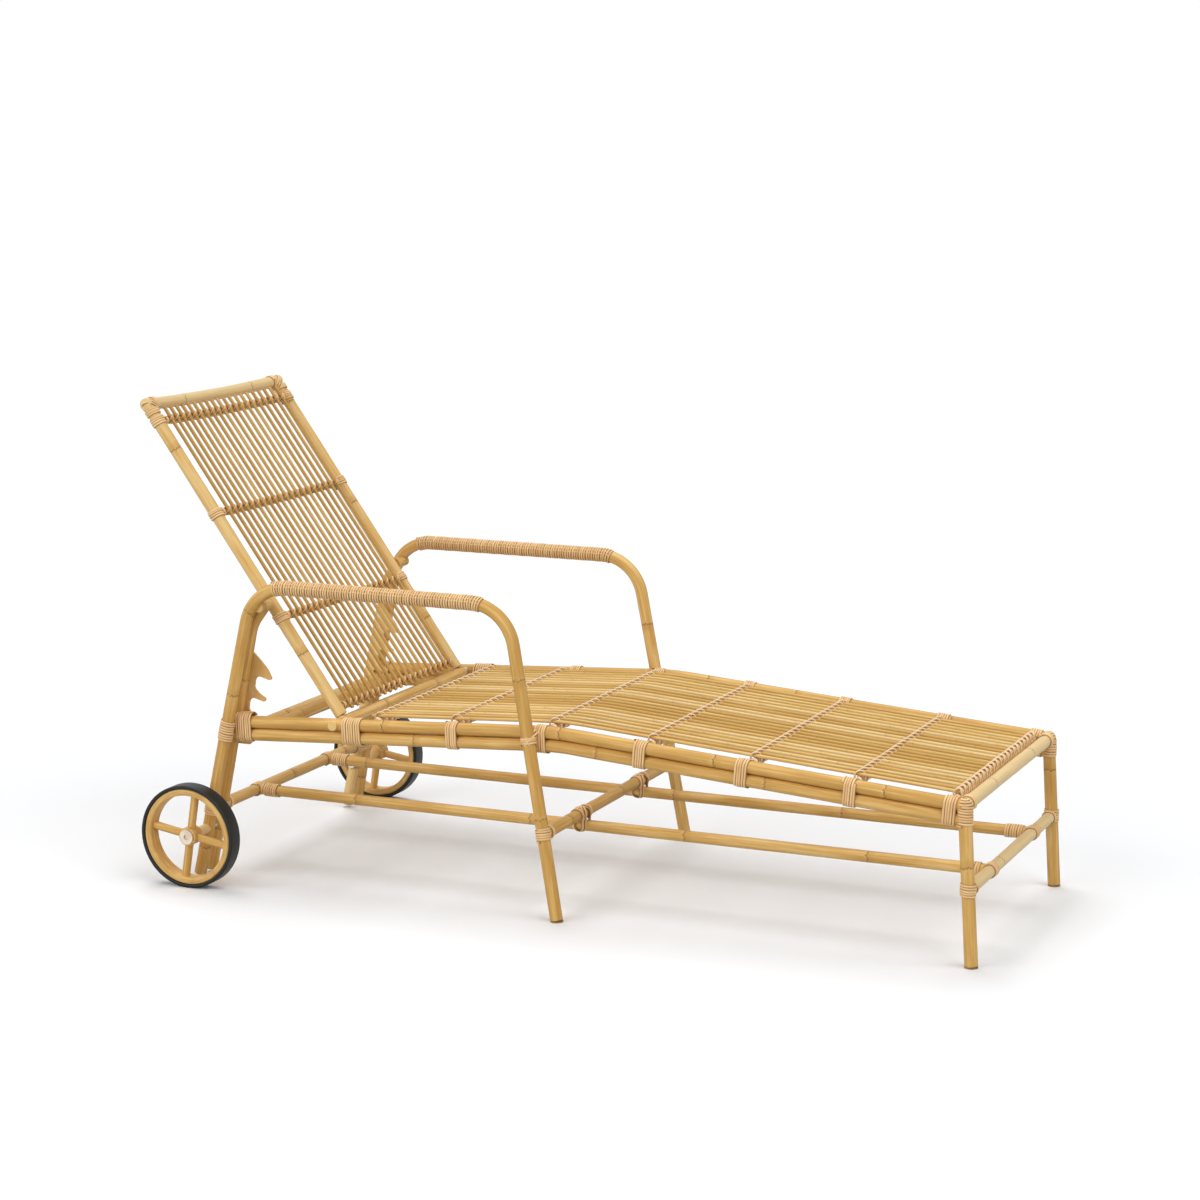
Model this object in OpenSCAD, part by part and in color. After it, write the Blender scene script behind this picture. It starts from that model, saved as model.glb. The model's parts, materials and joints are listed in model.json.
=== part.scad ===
// Sun lounger with armrests, a reclining slatted back and two wheels.
// Lengths are millimetres. X runs along the length, with the foot end at +X.
// Y runs across, with the right side at -Y. Z is up and the floor is at 0.

/* [Seat frame] */
// Distance from the seat frame's middle to each side rail's centre
frame_half = 327; // [280:1:380]
// Outer diameter of the frame, leg, arm and back tubes
tube_d = 28; // [22:0.5:36]
// Centre height of the upper rail where it bends at the hip
hip_z = 402; // [360:1:450]
// Distance from the front feet back to the hip
hip_back = 920; // [800:1:1100]
// Downward slope of the rails from the hip to the foot end, degrees
foot_slope = 4.34; // [0:0.01:8]
// Downward slope of the rails from the hip to the wheel end, degrees
rear_slope = 3.35; // [0:0.01:8]
// Radius of the bend in the upper rail at the hip
hip_bend_r = 700; // [400:10:1200]
// Vertical distance between the upper and lower rail centres
rail_step = 28.3; // [28.2:0.1:34]
// How far the foot end corner stands behind the front feet
corner_back = 21; // [5:1:50]

/* [Seat slats] */
// Number of lengthwise slats in the seat
seat_slat_count = 22; // [14:1:26]
// Slat diameter
slat_d = 8; // [6:0.5:10]
// Spacing of the seat slats
seat_slat_pitch = 26.4; // [20:0.1:28]
// Diameter of the cross rods under the slats
rod_d = 12; // [8:0.5:12]
// Height of the seat slat centres above the upper rail centre
slat_rise = 13.1; // [12:0.1:16]

/* [Arm frames] */
// Distance from the middle to the arm frame at the hip height
arm_half = 355.6; // [310:0.1:410]
// Sideways lean of each arm frame, degrees
arm_lean = 1.8; // [0:0.1:4]
// Centre height of the armrest
arm_z = 671; // [600:1:740]
// Bend radius at the armrest's ends
arm_bend_r = 105; // [60:1:140]
// Distance of the rear leg's lower end behind the front feet
rear_foot_back = 1782; // [1650:1:1900]
// Lean of the rear leg from upright, degrees
rear_leg_lean = 11.9; // [4:0.1:18]
// Distance of the middle feet behind the front feet
mid_foot_back = 899; // [820:1:980]
// Lean of the middle leg from upright, degrees
mid_leg_lean = 10.35; // [4:0.05:16]
// Height of the rear leg's end above the floor
rear_leg_gap = 8; // [4:1:20]
// Thickness of the pads under the front and middle feet
glide_h = 3; // [2:0.5:6]

/* [Stretchers] */
// Centre height of the front, rear and long stretchers
stretcher_z = 160; // [110:1:220]
// Diameter of the cross stretchers
cross_d = 26; // [20:0.5:30]
// Diameter of the long stretchers
long_d = 25; // [18:0.5:26]
// Distance from the middle to each long stretcher
long_half = 163; // [100:1:220]

/* [Backrest] */
// Distance from the middle to each back stile's centre
stile_half = 284; // [240:1:285]
// Distance of the back hinge behind the front feet
hinge_back = 1450; // [1380:1:1520]
// Distance from the hinge to the top rail
back_len = 838; // [700:1:920]
// Angle of the backrest above flat as it stands, degrees
back_angle = 54.3; // [30:0.1:70]
// Number of slats in the backrest
back_slat_count = 20; // [12:1:20]
// Spacing of the backrest slats
back_slat_pitch = 26; // [18:0.1:26.5]

/* [Notch plates] */
// Thickness of each notch plate
plate_t = 5; // [3:0.5:6]
// Distance of the top notch behind the back hinge
notch_back = 203; // [196:1:210]
// Height of the top notch above the back hinge
notch_up = 65; // [60:1:80]
// Height step from one notch to the next
notch_step = 50; // [48:1:54]
// Diameter of the support bar that lies in the notches
bar_d = 25; // [20:0.5:26]

/* [Wheels] */
// Outer diameter of the tyres
tyre_d = 232; // [180:1:260]
// Width of a wheel
wheel_w = 38; // [28:1:50]
// Distance from the middle to each wheel's centre
wheel_half = 441; // [415:1:480]
// Radial thickness of the tyre
tyre_t = 8; // [4:0.5:12]
// Radial depth of the rim
rim_t = 15; // [12:0.5:30]
// Spoke diameter
spoke_d = 18; // [10:0.5:20]
// Wheel hub diameter
hub_d = 42; // [36:1:50]
// Axle diameter
axle_d = 12; // [10:0.5:16]
// Diameter of the metal caps on the axle ends
cap_d = 34; // [28:0.5:34]

/* [Bindings] */
// Thickness of the bindings
wrap_t = 2.4; // [1.5:0.1:3.5]
// Width of one turn of binding
turn_w = 6.4; // [5:0.1:8]

/* [Hidden] */
// steps round a bar, and along a bend
round_steps = 48;
bend_steps = 16;
$fn = round_steps;
// gap left where one piece is cut to fit round another
fit = 0.1;
// radial clearance of a turning fit
run_fit = 0.05;
// how far a cutting shape runs past the face that it opens
over = 1;
// how much thicker a bend is than its straight runs, and how far these run into it
bend_more = 0.2;
lap = 0.3;
// radius of a frame tube
tube_r = tube_d / 2;
// point where the upper rail's two straight runs would meet
hip = [-hip_back, 0, hip_z];
// middle direction of the hip bend
hip_mid = (foot_slope - rear_slope) / 2;
hip_turn = foot_slope + rear_slope;
// centre of the hip bend
hip_c = hip - hip_bend_r / cos(hip_turn / 2) * [sin(hip_mid), 0, cos(hip_mid)];
rear_n = [-sin(rear_slope), 0, cos(rear_slope)];
foot_n = [sin(foot_slope), 0, cos(foot_slope)];
rear_u = [cos(rear_slope), 0, sin(rear_slope)];
foot_u = [cos(foot_slope), 0, -sin(foot_slope)];
rear_t = hip_c + hip_bend_r * rear_n;
foot_t = hip_c + hip_bend_r * foot_n;

// height of the upper rail's centre line at a distance along X
function rail_z(x) =
  x < rear_t[0] ? rear_t[2] + (x - rear_t[0]) * tan(rear_slope)
  : x > foot_t[0] ? foot_t[2] - (x - foot_t[0]) * tan(foot_slope)
  : hip_c[2] + sqrt(pow(hip_bend_r, 2) - pow(x - hip_c[0], 2));
// slope angle of the rail at a distance along X
function rail_a(x) =
  x < rear_t[0] ? rear_slope
  : x > foot_t[0] ? -foot_slope
  : asin((hip_c[0] - x) / hip_bend_r);

corner_x = -corner_back;
corner_z = rail_z(corner_x);
front_lean = atan(corner_back / corner_z);
hinge_x = -hinge_back;
hinge_z = rail_z(hinge_x);
top_bow = 11.5;
back_u = [-cos(back_angle), 0, sin(back_angle)];
back_top = [hinge_x, 0, hinge_z] + back_len * back_u;

// middle of the whole object, so that it stands over the origin
x_front = tube_r;
x_rear = back_top[0] - top_bow * sin(back_angle) - tube_r;
x_shift = -(x_front + x_rear) / 2;

// arm frame, in its own flat plane
arm_h = (arm_z - hip_z) / cos(arm_lean);
arm_low = -hip_z / cos(arm_lean);
arm_c1 = -rear_foot_back + (arm_h - arm_low) * tan(rear_leg_lean);
arm_c2 = -mid_foot_back - (arm_h - arm_low) * tan(mid_leg_lean);
arm_t1 = arm_bend_r * tan((90 - rear_leg_lean) / 2);
arm_t2 = arm_bend_r * tan((90 - mid_leg_lean) / 2);
// centres of its rear and middle bends
arm_rc = [arm_c1 + arm_t1, 0, arm_h - arm_bend_r];
arm_mc = [arm_c2 - arm_t2, 0, arm_h - arm_bend_r];
// angles by which the armrest's winding goes into the two bends
arm_wrap_rear = 20;
arm_wrap_mid = 16;
function arm_y(z) = arm_half + (hip_z - z) * tan(arm_lean);
function rear_leg_x(z) = -rear_foot_back + z / cos(arm_lean) * tan(rear_leg_lean);
function front_leg_x(z) = corner_x * z / corner_z;
function mid_leg_x(z) = -mid_foot_back - z / cos(arm_lean) * tan(mid_leg_lean);
// directions up the struts, the middle legs and the front legs, seen from the side
rear_dir = [sin(rear_leg_lean), 0, cos(rear_leg_lean)];
mid_dir = [-sin(mid_leg_lean), 0, cos(mid_leg_lean)];
front_dir = [-sin(front_lean), 0, cos(front_lean)];
// directions up the right arm frame's two legs, which lean inwards as well
function unit(v) = v / norm(v);
arm_rear_dir = unit([tan(rear_leg_lean) / cos(arm_lean), tan(arm_lean), 1]);
arm_mid_dir = unit([-tan(mid_leg_lean) / cos(arm_lean), tan(arm_lean), 1]);

// struts stand inside the rear legs and carry the notch plates
back_gap = 3.2;
plate_y = stile_half + tube_r + back_gap;
strut_half = plate_y + plate_t + fit + tube_r;
strut_rail_drop = 45;
strut_x_at_rail = rear_leg_x(hip_z - strut_rail_drop);
strut_top_z = 560;
strut_bend_r = 90;
strut_bend = 25;
strut_tip = 34;
strut_end_a = rear_leg_lean + strut_bend;
// start, centre and end of the strut's bend
strut_p = [rear_leg_x(strut_top_z), -strut_half, strut_top_z];
strut_c = strut_p + strut_bend_r * [cos(rear_leg_lean), 0, -sin(rear_leg_lean)];
strut_e = strut_c + strut_bend_r * [-cos(strut_end_a), 0, sin(strut_end_a)];
stub_d = 24;
stub_at = strut_e + strut_tip * [sin(strut_end_a), 0, cos(strut_end_a)];

// notches: each stands further back than the one above by this share of the step
notch_lean = 0.32;
// points of the plate's outline, as shares of the step from notch to notch: round one notch, at
// the plate's top seen from the top notch, and at its lower end seen from the lowest notch
hook_points = [[0.09, 0.432], [0, 0], [-0.17, -0.17], [-0.04, -0.33]];
plate_top_points = [[-0.27, 1.52], [0.12, 1.13], [0.43, 0.79]];
plate_low_points = [[0.24, -0.51], [0.08, -0.7]];
plate_top_drop = 0.12;
// round tip of the hook above a notch, and the middle of the notch's mouth, seen from the notch
hook_tip = [0.51, 0.42];
hook_tip_r = 0.1;
hook_tip_angles = [50 : -15 : -100];
notch_mouth = [0.03, 0.18];
notch_r = bar_d / 2 + 0.5;
function notch_at(i) = [
  hinge_x - notch_back - i * notch_step * notch_lean,
  hinge_z + notch_up - i * notch_step
];
plate_rear = 9;
screw_d = 4;
screw_head_d = 9;
screw_head_t = 2;
screw_long = 26;
screw_up = [28, 118];
bar_short = 0.3;
bar_half = plate_y + plate_t - bar_short;

// seat: distances of the cross rods and of the rail bindings behind the front feet
rod_back = [49, 259, 486, 716, 943, 1177, 1365];
bind_back = [261, 493, 723, 950, 1163];
bind_turns = 5;
rod_rise = 0.5;
slat_front = -38;
slat_back = -1385;
hip_bind_ahead = 46;
hip_bind_x = hinge_x + hip_bind_ahead;
hip_bind_turns = 8;
rear_bind_x = -1671;
rear_bind_turns = 5;

// back: its rods, slats and the backward bow of the top rail and the rods at mid width
back_rod_at = [34, 271, 546, 792];
back_slat_low = 18;
back_slat_high = 820;
rod_bow = 8.5;
back_wrap_turns = 4;
function bow_at(u, y) = rod_bow * u / back_len * (1 - pow(y / stile_half, 2));
// where the top rail meets the right stile, and its direction there
top_corner = [back_len, -stile_half, 0];
top_end_a = asin(2 * top_bow * stile_half / (pow(stile_half, 2) + pow(top_bow, 2)));
top_end_dir = [0, cos(top_end_a), -sin(top_end_a)];

// the middle stretcher lies on the long stretchers
mid_z = stretcher_z + long_d / 2 + cross_d / 2 + 2 * fit;
// the rear cross rail hangs clear below the lowered back
rear_rail_ahead = 15;
rear_rail_drop = 18;
rear_rail_x = hinge_x - notch_back + rear_rail_ahead;
rear_rail_z = rail_z(rear_rail_x) - rear_rail_drop;

// hinge
hinge_d = 8;
bolt_head_d = 21;
bolt_head_t = 3;
bolt_deep = 40;
washer_d = 19;
end_gap = 0.5;

// wheels
axle_z = tyre_d / 2;
axle_x = rear_leg_x(axle_z);
rim_r = tyre_d / 2 - tyre_t;
rim_in = rim_r - rim_t;
rim_inset = 1.5;
rim_w = wheel_w - 2 * rim_inset;
rim_round = 3;
tyre_round = 2.5;
hub_w = 32;
hub_round = 3;
// how far the spokes run into the hub and the rim before they are cut to fit
spoke_sink = 5;
// turn of the spokes at rest
spoke_turn = -9;
cap_t = 3.6;
cap_edge = 1;
hex_d = 12;
hex_deep = 2.4;
spacer_d = 22;
nut_d = 22;
nut_t = 8;
// how far out the caps, the spacers' outer ends and the nuts' inner ends are
cap_y = wheel_half + hub_w / 2 + end_gap;
spacer_y = wheel_half - hub_w / 2 - end_gap;
nut_y = strut_half - tube_r - nut_t;

// bindings stand this far off the tubes inside
wrap_fit = 0.3;
leg_bind_z = 342;
leg_bind_turns = 8;
lash_turns = 4;
// bindings on the arm legs are this much wider, and clear the rails beside them
leg_slack = 1;
// distance of the last rail binding behind the corner at the foot end
corner_bind_back = 27;
// size of the blocks that trim the feet
foot_block = 200;
// everything is cut off by cubes of this size
big = 3000;

cane = [0.84, 0.70, 0.45];
binding = [0.84, 0.72, 0.55];
steel = [0.75, 0.74, 0.72];
black = [0.08, 0.08, 0.08];

right_upper_rail();
left_upper_rail();
right_lower_rail();
left_lower_rail();
foot_crossbar();
right_front_leg();
left_front_leg();
right_arm_frame();
left_arm_frame();
right_rear_strut();
left_rear_strut();
right_strut_stub();
left_strut_stub();
right_notch_plate();
left_notch_plate();
plate_screws();
rear_cross_rail();
front_stretcher();
middle_stretcher();
rear_stretcher();
right_long_stretcher();
left_long_stretcher();
seat_rods();
seat_slats();
seat_lashings();
right_arm_wrap();
left_arm_wrap();
rail_bindings();
right_hinge_binding();
left_hinge_binding();
right_rear_binding();
left_rear_binding();
corner_bindings();
leg_bindings();
stretcher_bindings();
foot_pads();
hinge_bolts();
hinge_washers();
axles();
axle_spacers();
axle_nuts();
right_wheel_hub();
right_wheel_spokes();
right_wheel_rim();
right_tyre();
right_wheel_cap();
left_wheel_hub();
left_wheel_spokes();
left_wheel_rim();
left_tyre();
left_wheel_cap();
right_back_stile();
left_back_stile();
back_top_rail();
back_bottom_rail();
back_rods();
back_slats();
back_lashings();
back_wraps();
support_bar();

// Helpers

module place() {
  translate([x_shift, 0, 0])
    children();
}

module left_side() {
  mirror([0, 1, 0])
    children();
}

module both_sides() {
  children();
  left_side()
    children();
}

// a round bar from p to q
module tube(p, q, d) {
  v = q - p;
  translate(p)
    rotate([0, acos(v[2] / norm(v)), atan2(v[1], v[0])])
      cylinder(h = norm(v), d = d);
}

// a round bar bent about Z at radius r through turn; it is a hair thicker than the
// straight runs, which end just inside it
module bend(r, turn, d) {
  rotate_extrude(angle = turn, $fn = bend_steps * 360 / turn)
    translate([r, 0])
      circle(d = d + bend_more, $fn = round_steps);
}

// an arc of round bar standing in the XZ plane about c, from angle a0 through turn
module arc_bar(c, r, a0, turn, d) {
  translate(c)
    rotate([90, 0, 0])
      rotate([0, 0, a0])
        bend(r, turn, d);
}

// binding on a round bar of diameter d: middle m, unit direction u, number of turns
module band(m, u, turns, d) {
  h = turns * turn_w / 2;
  difference() {
    tube(m - h * u, m + h * u, d + 2 * wrap_t);
    tube(m - (h + over) * u, m + (h + over) * u, d + 2 * fit);
  }
}

// outline round two bars that lie one above the other
module pair_outline(r) {
  circle(r = r);
  translate([-r, -rail_step])
    square([2 * r, rail_step]);
  translate([0, -rail_step])
    circle(r = r);
}

// binding round the right rail pair at x
module pair_band(x, turns) {
  w = turns * turn_w;
  translate([x, -frame_half, rail_z(x)])
    rotate([0, -rail_a(x), 0])
      translate([-w / 2, 0, 0])
        rotate([90, 0, 90])
          linear_extrude(height = w)
            difference() {
              pair_outline(tube_r + wrap_t);
              pair_outline(tube_r + wrap_fit);
            }
}

// a bar along the rails' bent line, raised by off, from x0 at the wheel end to x1
module rail_path(off, d, x0, x1, y) {
  r = hip_bend_r + off;
  a = hip_c + r * rear_n;
  b = hip_c + r * foot_n;
  translate([0, y, 0]) {
    arc_bar(hip_c, r, 90 - foot_slope, hip_turn, d);
    tube(a + lap * rear_u, a - (a[0] - x0) / rear_u[0] * rear_u, d);
    tube(b - lap * foot_u, b + (x1 - b[0]) / foot_u[0] * foot_u, d);
  }
}

// Seat frame

module right_upper_rail() {
  color(cane)
    place()
      difference() {
        rail_path(0, tube_d, strut_x_at_rail, corner_x + tube_d, -frame_half);
        translate([corner_x, -frame_half, 0])
          rotate([0, 0, 45])
            translate([0, -big / 2, -big / 2])
              cube(big);
        strut_path(tube_d + 2 * fit);
        hinge_line(hinge_d + 2 * fit);
      }
}

module left_upper_rail() {
  left_side()
    right_upper_rail();
}

module right_lower_rail() {
  color(cane)
    place()
      difference() {
        rail_path(-rail_step, tube_d, strut_x_at_rail, corner_x, -frame_half);
        front_leg_line(tube_d + 2 * fit);
        strut_path(tube_d + 2 * fit);
      }
}

module left_lower_rail() {
  left_side()
    right_lower_rail();
}

module foot_crossbar() {
  far = frame_half + tube_d;
  color(cane)
    place()
      difference() {
        tube([corner_x, -far, corner_z], [corner_x, far, corner_z], tube_d);
        both_sides()
          translate([corner_x + fit, -frame_half, 0])
            rotate([0, 0, 45])
              translate([-big, -big / 2, -big / 2])
                cube(big);
      }
}

module front_leg_line(d) {
  tube([0, -frame_half, 0], [corner_x, -frame_half, corner_z], d);
}

module right_front_leg() {
  color(cane)
    place()
      difference() {
        front_leg_line(tube_d);
        floor_cut(0, glide_h);
        stretcher_line(0, frame_half, stretcher_z, cross_d + 2 * fit);
        rail_path(0, tube_d + 2 * fit, hinge_x, corner_x + tube_d, -frame_half);
        tube([corner_x, -frame_half - tube_d, corner_z], [corner_x, 0, corner_z], tube_d + 2 * fit);
      }
}

module left_front_leg() {
  left_side()
    right_front_leg();
}

module rear_cross_rail() {
  color(cane)
    place()
      difference() {
        tube([rear_rail_x, -frame_half, rear_rail_z], [rear_rail_x, frame_half, rear_rail_z], cross_d);
        both_sides() {
          rail_path(0, tube_d + 2 * fit, strut_x_at_rail, hinge_x, -frame_half);
          rail_path(-rail_step, tube_d + 2 * fit, strut_x_at_rail, hinge_x, -frame_half);
        }
      }
}

// takes away all that is lower than z near x
module floor_cut(x, z) {
  translate([x - foot_block / 2, -big / 2, z - foot_block])
    cube([foot_block, big, foot_block]);
}

// Arm frames

// moves the flat arm frame to its leaning place on the right side
module arm_place() {
  translate([0, -arm_half, hip_z])
    rotate([-arm_lean, 0, 0])
      children();
}

module arm_path(d) {
  rear_end = arm_rc + arm_bend_r * [-cos(rear_leg_lean), 0, sin(rear_leg_lean)];
  mid_end = arm_mc + arm_bend_r * [cos(mid_leg_lean), 0, sin(mid_leg_lean)];
  arm_place() {
    tube([-rear_foot_back, 0, arm_low], rear_end + lap * rear_dir, d);
    arc_bar(arm_rc, arm_bend_r, 90, 90 - rear_leg_lean, d);
    tube([arm_rc[0] - lap, 0, arm_h], [arm_mc[0] + lap, 0, arm_h], d);
    arc_bar(arm_mc, arm_bend_r, mid_leg_lean, 90 - mid_leg_lean, d);
    tube([-mid_foot_back, 0, arm_low], mid_end + lap * mid_dir, d);
  }
}

module right_arm_frame() {
  color(cane)
    place()
      difference() {
        arm_path(tube_d);
        floor_cut(-rear_foot_back, rear_leg_gap);
        floor_cut(-mid_foot_back, glide_h);
        axle_line(axle_d + 2 * fit);
      }
}

module left_arm_frame() {
  left_side()
    right_arm_frame();
}

// the winding's way over the armrest and into both bends, further by more degrees
module arm_wrap_path(d, more) {
  arm_place() {
    arc_bar(arm_rc, arm_bend_r, 90, arm_wrap_rear + more, d);
    tube([arm_rc[0] - lap, 0, arm_h], [arm_mc[0] + lap, 0, arm_h], d);
    arc_bar(arm_mc, arm_bend_r, 90 - arm_wrap_mid - more, arm_wrap_mid + more, d);
  }
}

module right_arm_wrap() {
  color(binding)
    place()
      difference() {
        arm_wrap_path(tube_d + 2 * wrap_t, 0);
        arm_wrap_path(tube_d + 2 * fit, over);
      }
}

module left_arm_wrap() {
  left_side()
    right_arm_wrap();
}

module strut_path(d) {
  tip_dir = [sin(strut_end_a), 0, cos(strut_end_a)];
  tube([rear_leg_x(0), -strut_half, 0], strut_p + lap * rear_dir, d);
  arc_bar(strut_c, strut_bend_r, 180 - strut_end_a, strut_bend, d);
  tube(strut_e - lap * tip_dir, stub_at, d);
}

module right_rear_strut() {
  color(cane)
    place()
      difference() {
        strut_path(tube_d);
        floor_cut(-rear_foot_back, rear_leg_gap);
        stub_line(stub_d + 2 * fit);
        axle_line(axle_d + 2 * fit);
        plate_screw_lines(2 * fit);
      }
}

module left_rear_strut() {
  left_side()
    right_rear_strut();
}

module stub_line(d) {
  tube([stub_at[0], -arm_y(stub_at[2]), stub_at[2]], [stub_at[0], -plate_y, stub_at[2]], d);
}

module right_strut_stub() {
  color(cane)
    place()
      difference() {
        stub_line(stub_d);
        arm_path(tube_d + 2 * fit);
      }
}

module left_strut_stub() {
  left_side()
    right_strut_stub();
}

// Notch plates and support bar

// outline points of the plate that belong to the notch at n
function near_notch(n, points) = [for (p = points) n + notch_step * p];
function hook(n) = concat(
  near_notch(n, [for (a = hook_tip_angles) hook_tip + hook_tip_r * [cos(a), sin(a)]]),
  near_notch(n, hook_points)
);

module plate_outline() {
  top = near_notch(notch_at(0), plate_top_points);
  low = near_notch(notch_at(2), plate_low_points);
  top_rear_z = top[0][1] - notch_step * plate_top_drop;
  difference() {
    polygon(concat(
      [[rear_leg_x(top[0][1]) - plate_rear, top_rear_z]],
      top,
      hook(notch_at(0)),
      hook(notch_at(1)),
      hook(notch_at(2)),
      low,
      [[rear_leg_x(low[1][1]) - plate_rear, low[1][1]]]
    ));
    for (i = [0 : 2]) {
      translate(notch_at(i))
        circle(r = notch_r);
      translate(notch_at(i) + notch_step * notch_mouth)
        circle(r = notch_r);
    }
  }
}

// right plate's two screws, wider by more
module plate_screw_lines(more) {
  for (up = screw_up) {
    z = hinge_z + up;
    x = rear_leg_x(z);
    tube([x, -plate_y, z], [x, -plate_y - screw_long, z], screw_d + more);
    tube([x, -plate_y, z], [x, -plate_y - screw_head_t, z], screw_head_d + more);
  }
}

module right_notch_plate() {
  color(cane)
    place()
      difference() {
        translate([0, -plate_y, 0])
          rotate([90, 0, 0])
            linear_extrude(height = plate_t)
              plate_outline();
        plate_screw_lines(2 * fit);
      }
}

module left_notch_plate() {
  left_side()
    right_notch_plate();
}

module plate_screws() {
  color(steel)
    place()
      both_sides()
        plate_screw_lines(0);
}

module support_bar() {
  n = notch_at(2);
  color(cane)
    place()
      tube([n[0], -bar_half, n[1]], [n[0], bar_half, n[1]], bar_d);
}

// Stretchers

// a cross bar at x and z, reaching to half on both sides
module stretcher_line(x, half, z, d) {
  tube([x, -half, z], [x, half, z], d);
}

module front_stretcher() {
  color(cane)
    place()
      difference() {
        stretcher_line(front_leg_x(stretcher_z), frame_half, stretcher_z, cross_d);
        both_sides()
          front_leg_line(tube_d + 2 * fit);
      }
}

module middle_stretcher() {
  color(cane)
    place()
      difference() {
        stretcher_line(mid_leg_x(mid_z), arm_y(mid_z), mid_z, cross_d);
        both_sides()
          arm_path(tube_d + 2 * fit);
      }
}

module rear_stretcher() {
  color(cane)
    place()
      difference() {
        stretcher_line(rear_leg_x(stretcher_z), strut_half, stretcher_z, cross_d);
        both_sides()
          strut_path(tube_d + 2 * fit);
      }
}

module long_line(d) {
  z = stretcher_z;
  tube([rear_leg_x(z), -long_half, z], [front_leg_x(z), -long_half, z], d);
}

module right_long_stretcher() {
  color(cane)
    place()
      difference() {
        long_line(long_d);
        stretcher_line(front_leg_x(stretcher_z), frame_half, stretcher_z, cross_d + 2 * fit);
        stretcher_line(rear_leg_x(stretcher_z), frame_half, stretcher_z, cross_d + 2 * fit);
      }
}

module left_long_stretcher() {
  left_side()
    right_long_stretcher();
}

// Seat

module seat_rod_line(x, d, half) {
  z = rail_z(x) + rod_rise;
  tube([x, -half, z], [x, half, z], d);
}

module seat_rods() {
  color(cane)
    place()
      difference() {
        for (b = rod_back)
          seat_rod_line(-b, rod_d, frame_half);
        both_sides()
          rail_path(0, tube_d + 2 * fit, hinge_x, corner_x, -frame_half);
      }
}

module seat_slats() {
  color(cane)
    place()
      for (i = [0 : seat_slat_count - 1]) {
        y = (i - (seat_slat_count - 1) / 2) * seat_slat_pitch;
        rail_path(slat_rise, slat_d, slat_back, slat_front, y);
      }
}

module seat_lashings() {
  half = seat_slat_count / 2 * seat_slat_pitch;
  color(binding)
    place()
      for (b = rod_back)
        difference() {
          seat_rod_line(-b, rod_d + 2 * wrap_t, half);
          seat_rod_line(-b, rod_d + 2 * fit, half + over);
        }
}

// Bindings of the frame

module rail_bindings() {
  color(binding)
    place()
      both_sides()
        difference() {
          for (b = bind_back)
            pair_band(-b, bind_turns);
          for (b = rod_back)
            seat_rod_line(-b, rod_d + 2 * fit, frame_half);
          arm_path(tube_d + 2 * fit);
        }
}

module right_hinge_binding() {
  color(binding)
    place()
      pair_band(hip_bind_x, hip_bind_turns);
}

module left_hinge_binding() {
  left_side()
    right_hinge_binding();
}

module right_rear_binding() {
  color(binding)
    place()
      pair_band(rear_bind_x, rear_bind_turns);
}

module left_rear_binding() {
  left_side()
    right_rear_binding();
}

module corner_bindings() {
  bar_y = frame_half - tube_d;
  color(binding)
    place()
      both_sides()
        difference() {
          union() {
            pair_band(corner_x - corner_bind_back, lash_turns);
            band([corner_x, -bar_y, corner_z], [0, 1, 0], lash_turns, tube_d);
          }
          front_leg_line(tube_d + 2 * fit);
          seat_rod_line(-rod_back[0], rod_d + 2 * fit, frame_half);
        }
}

module leg_bindings() {
  mid_bind_z = rail_z(mid_leg_x(hip_z)) - rail_step / 2;
  rear = [rear_leg_x(leg_bind_z), -arm_y(leg_bind_z), leg_bind_z];
  mid = [mid_leg_x(mid_bind_z), -arm_y(mid_bind_z), mid_bind_z];
  color(binding)
    place()
      both_sides()
        difference() {
          union() {
            band(rear, arm_rear_dir, leg_bind_turns, tube_d + leg_slack);
            band(mid, arm_mid_dir, lash_turns, tube_d + leg_slack);
          }
          rail_path(0, tube_d + 2 * fit, strut_x_at_rail, corner_x, -frame_half);
          rail_path(-rail_step, tube_d + 2 * fit, strut_x_at_rail, corner_x, -frame_half);
          pair_band_block(-bind_back[3], bind_turns);
        }
}

// the room that a rail binding takes
module pair_band_block(x, turns) {
  w = turns * turn_w + 2 * fit;
  translate([x, -frame_half, rail_z(x)])
    rotate([0, -rail_a(x), 0])
      translate([-w / 2, 0, 0])
        rotate([90, 0, 90])
          linear_extrude(height = w)
            pair_outline(tube_r + wrap_t + fit);
}

module stretcher_bindings() {
  z = stretcher_z;
  front = [front_leg_x(z), -frame_half, z];
  rear = [rear_leg_x(z), -strut_half, z];
  mid = [mid_leg_x(mid_z), -arm_y(mid_z), mid_z];
  front_long = [front_leg_x(z), -long_half, z];
  rear_long = [rear_leg_x(z), -long_half, z];
  end_in = cross_d / 2 + lash_turns * turn_w / 2 + wrap_t + over;
  color(binding)
    place()
      both_sides() {
        difference() {
          band(front, front_dir, bind_turns, tube_d);
          stretcher_line(front[0], frame_half, z, cross_d + 2 * fit);
        }
        difference() {
          band(rear, rear_dir, bind_turns, tube_d);
          stretcher_line(rear[0], strut_half, z, cross_d + 2 * fit);
        }
        difference() {
          band(mid, arm_mid_dir, bind_turns, tube_d + leg_slack);
          stretcher_line(mid[0], arm_y(mid_z), mid_z, cross_d + 2 * fit);
        }
        band(front_long - [end_in, 0, 0], [1, 0, 0], lash_turns, long_d);
        band(rear_long + [end_in, 0, 0], [1, 0, 0], lash_turns, long_d);
        difference() {
          union() {
            band(front_long, [0, 1, 0], bind_turns, cross_d);
            band(rear_long, [0, 1, 0], bind_turns, cross_d);
          }
          long_line(long_d + 2 * fit);
        }
        difference() {
          band([mid[0], -long_half, mid_z], [0, 1, 0], lash_turns, cross_d);
          long_line(long_d + 2 * fit);
        }
      }
}

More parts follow.
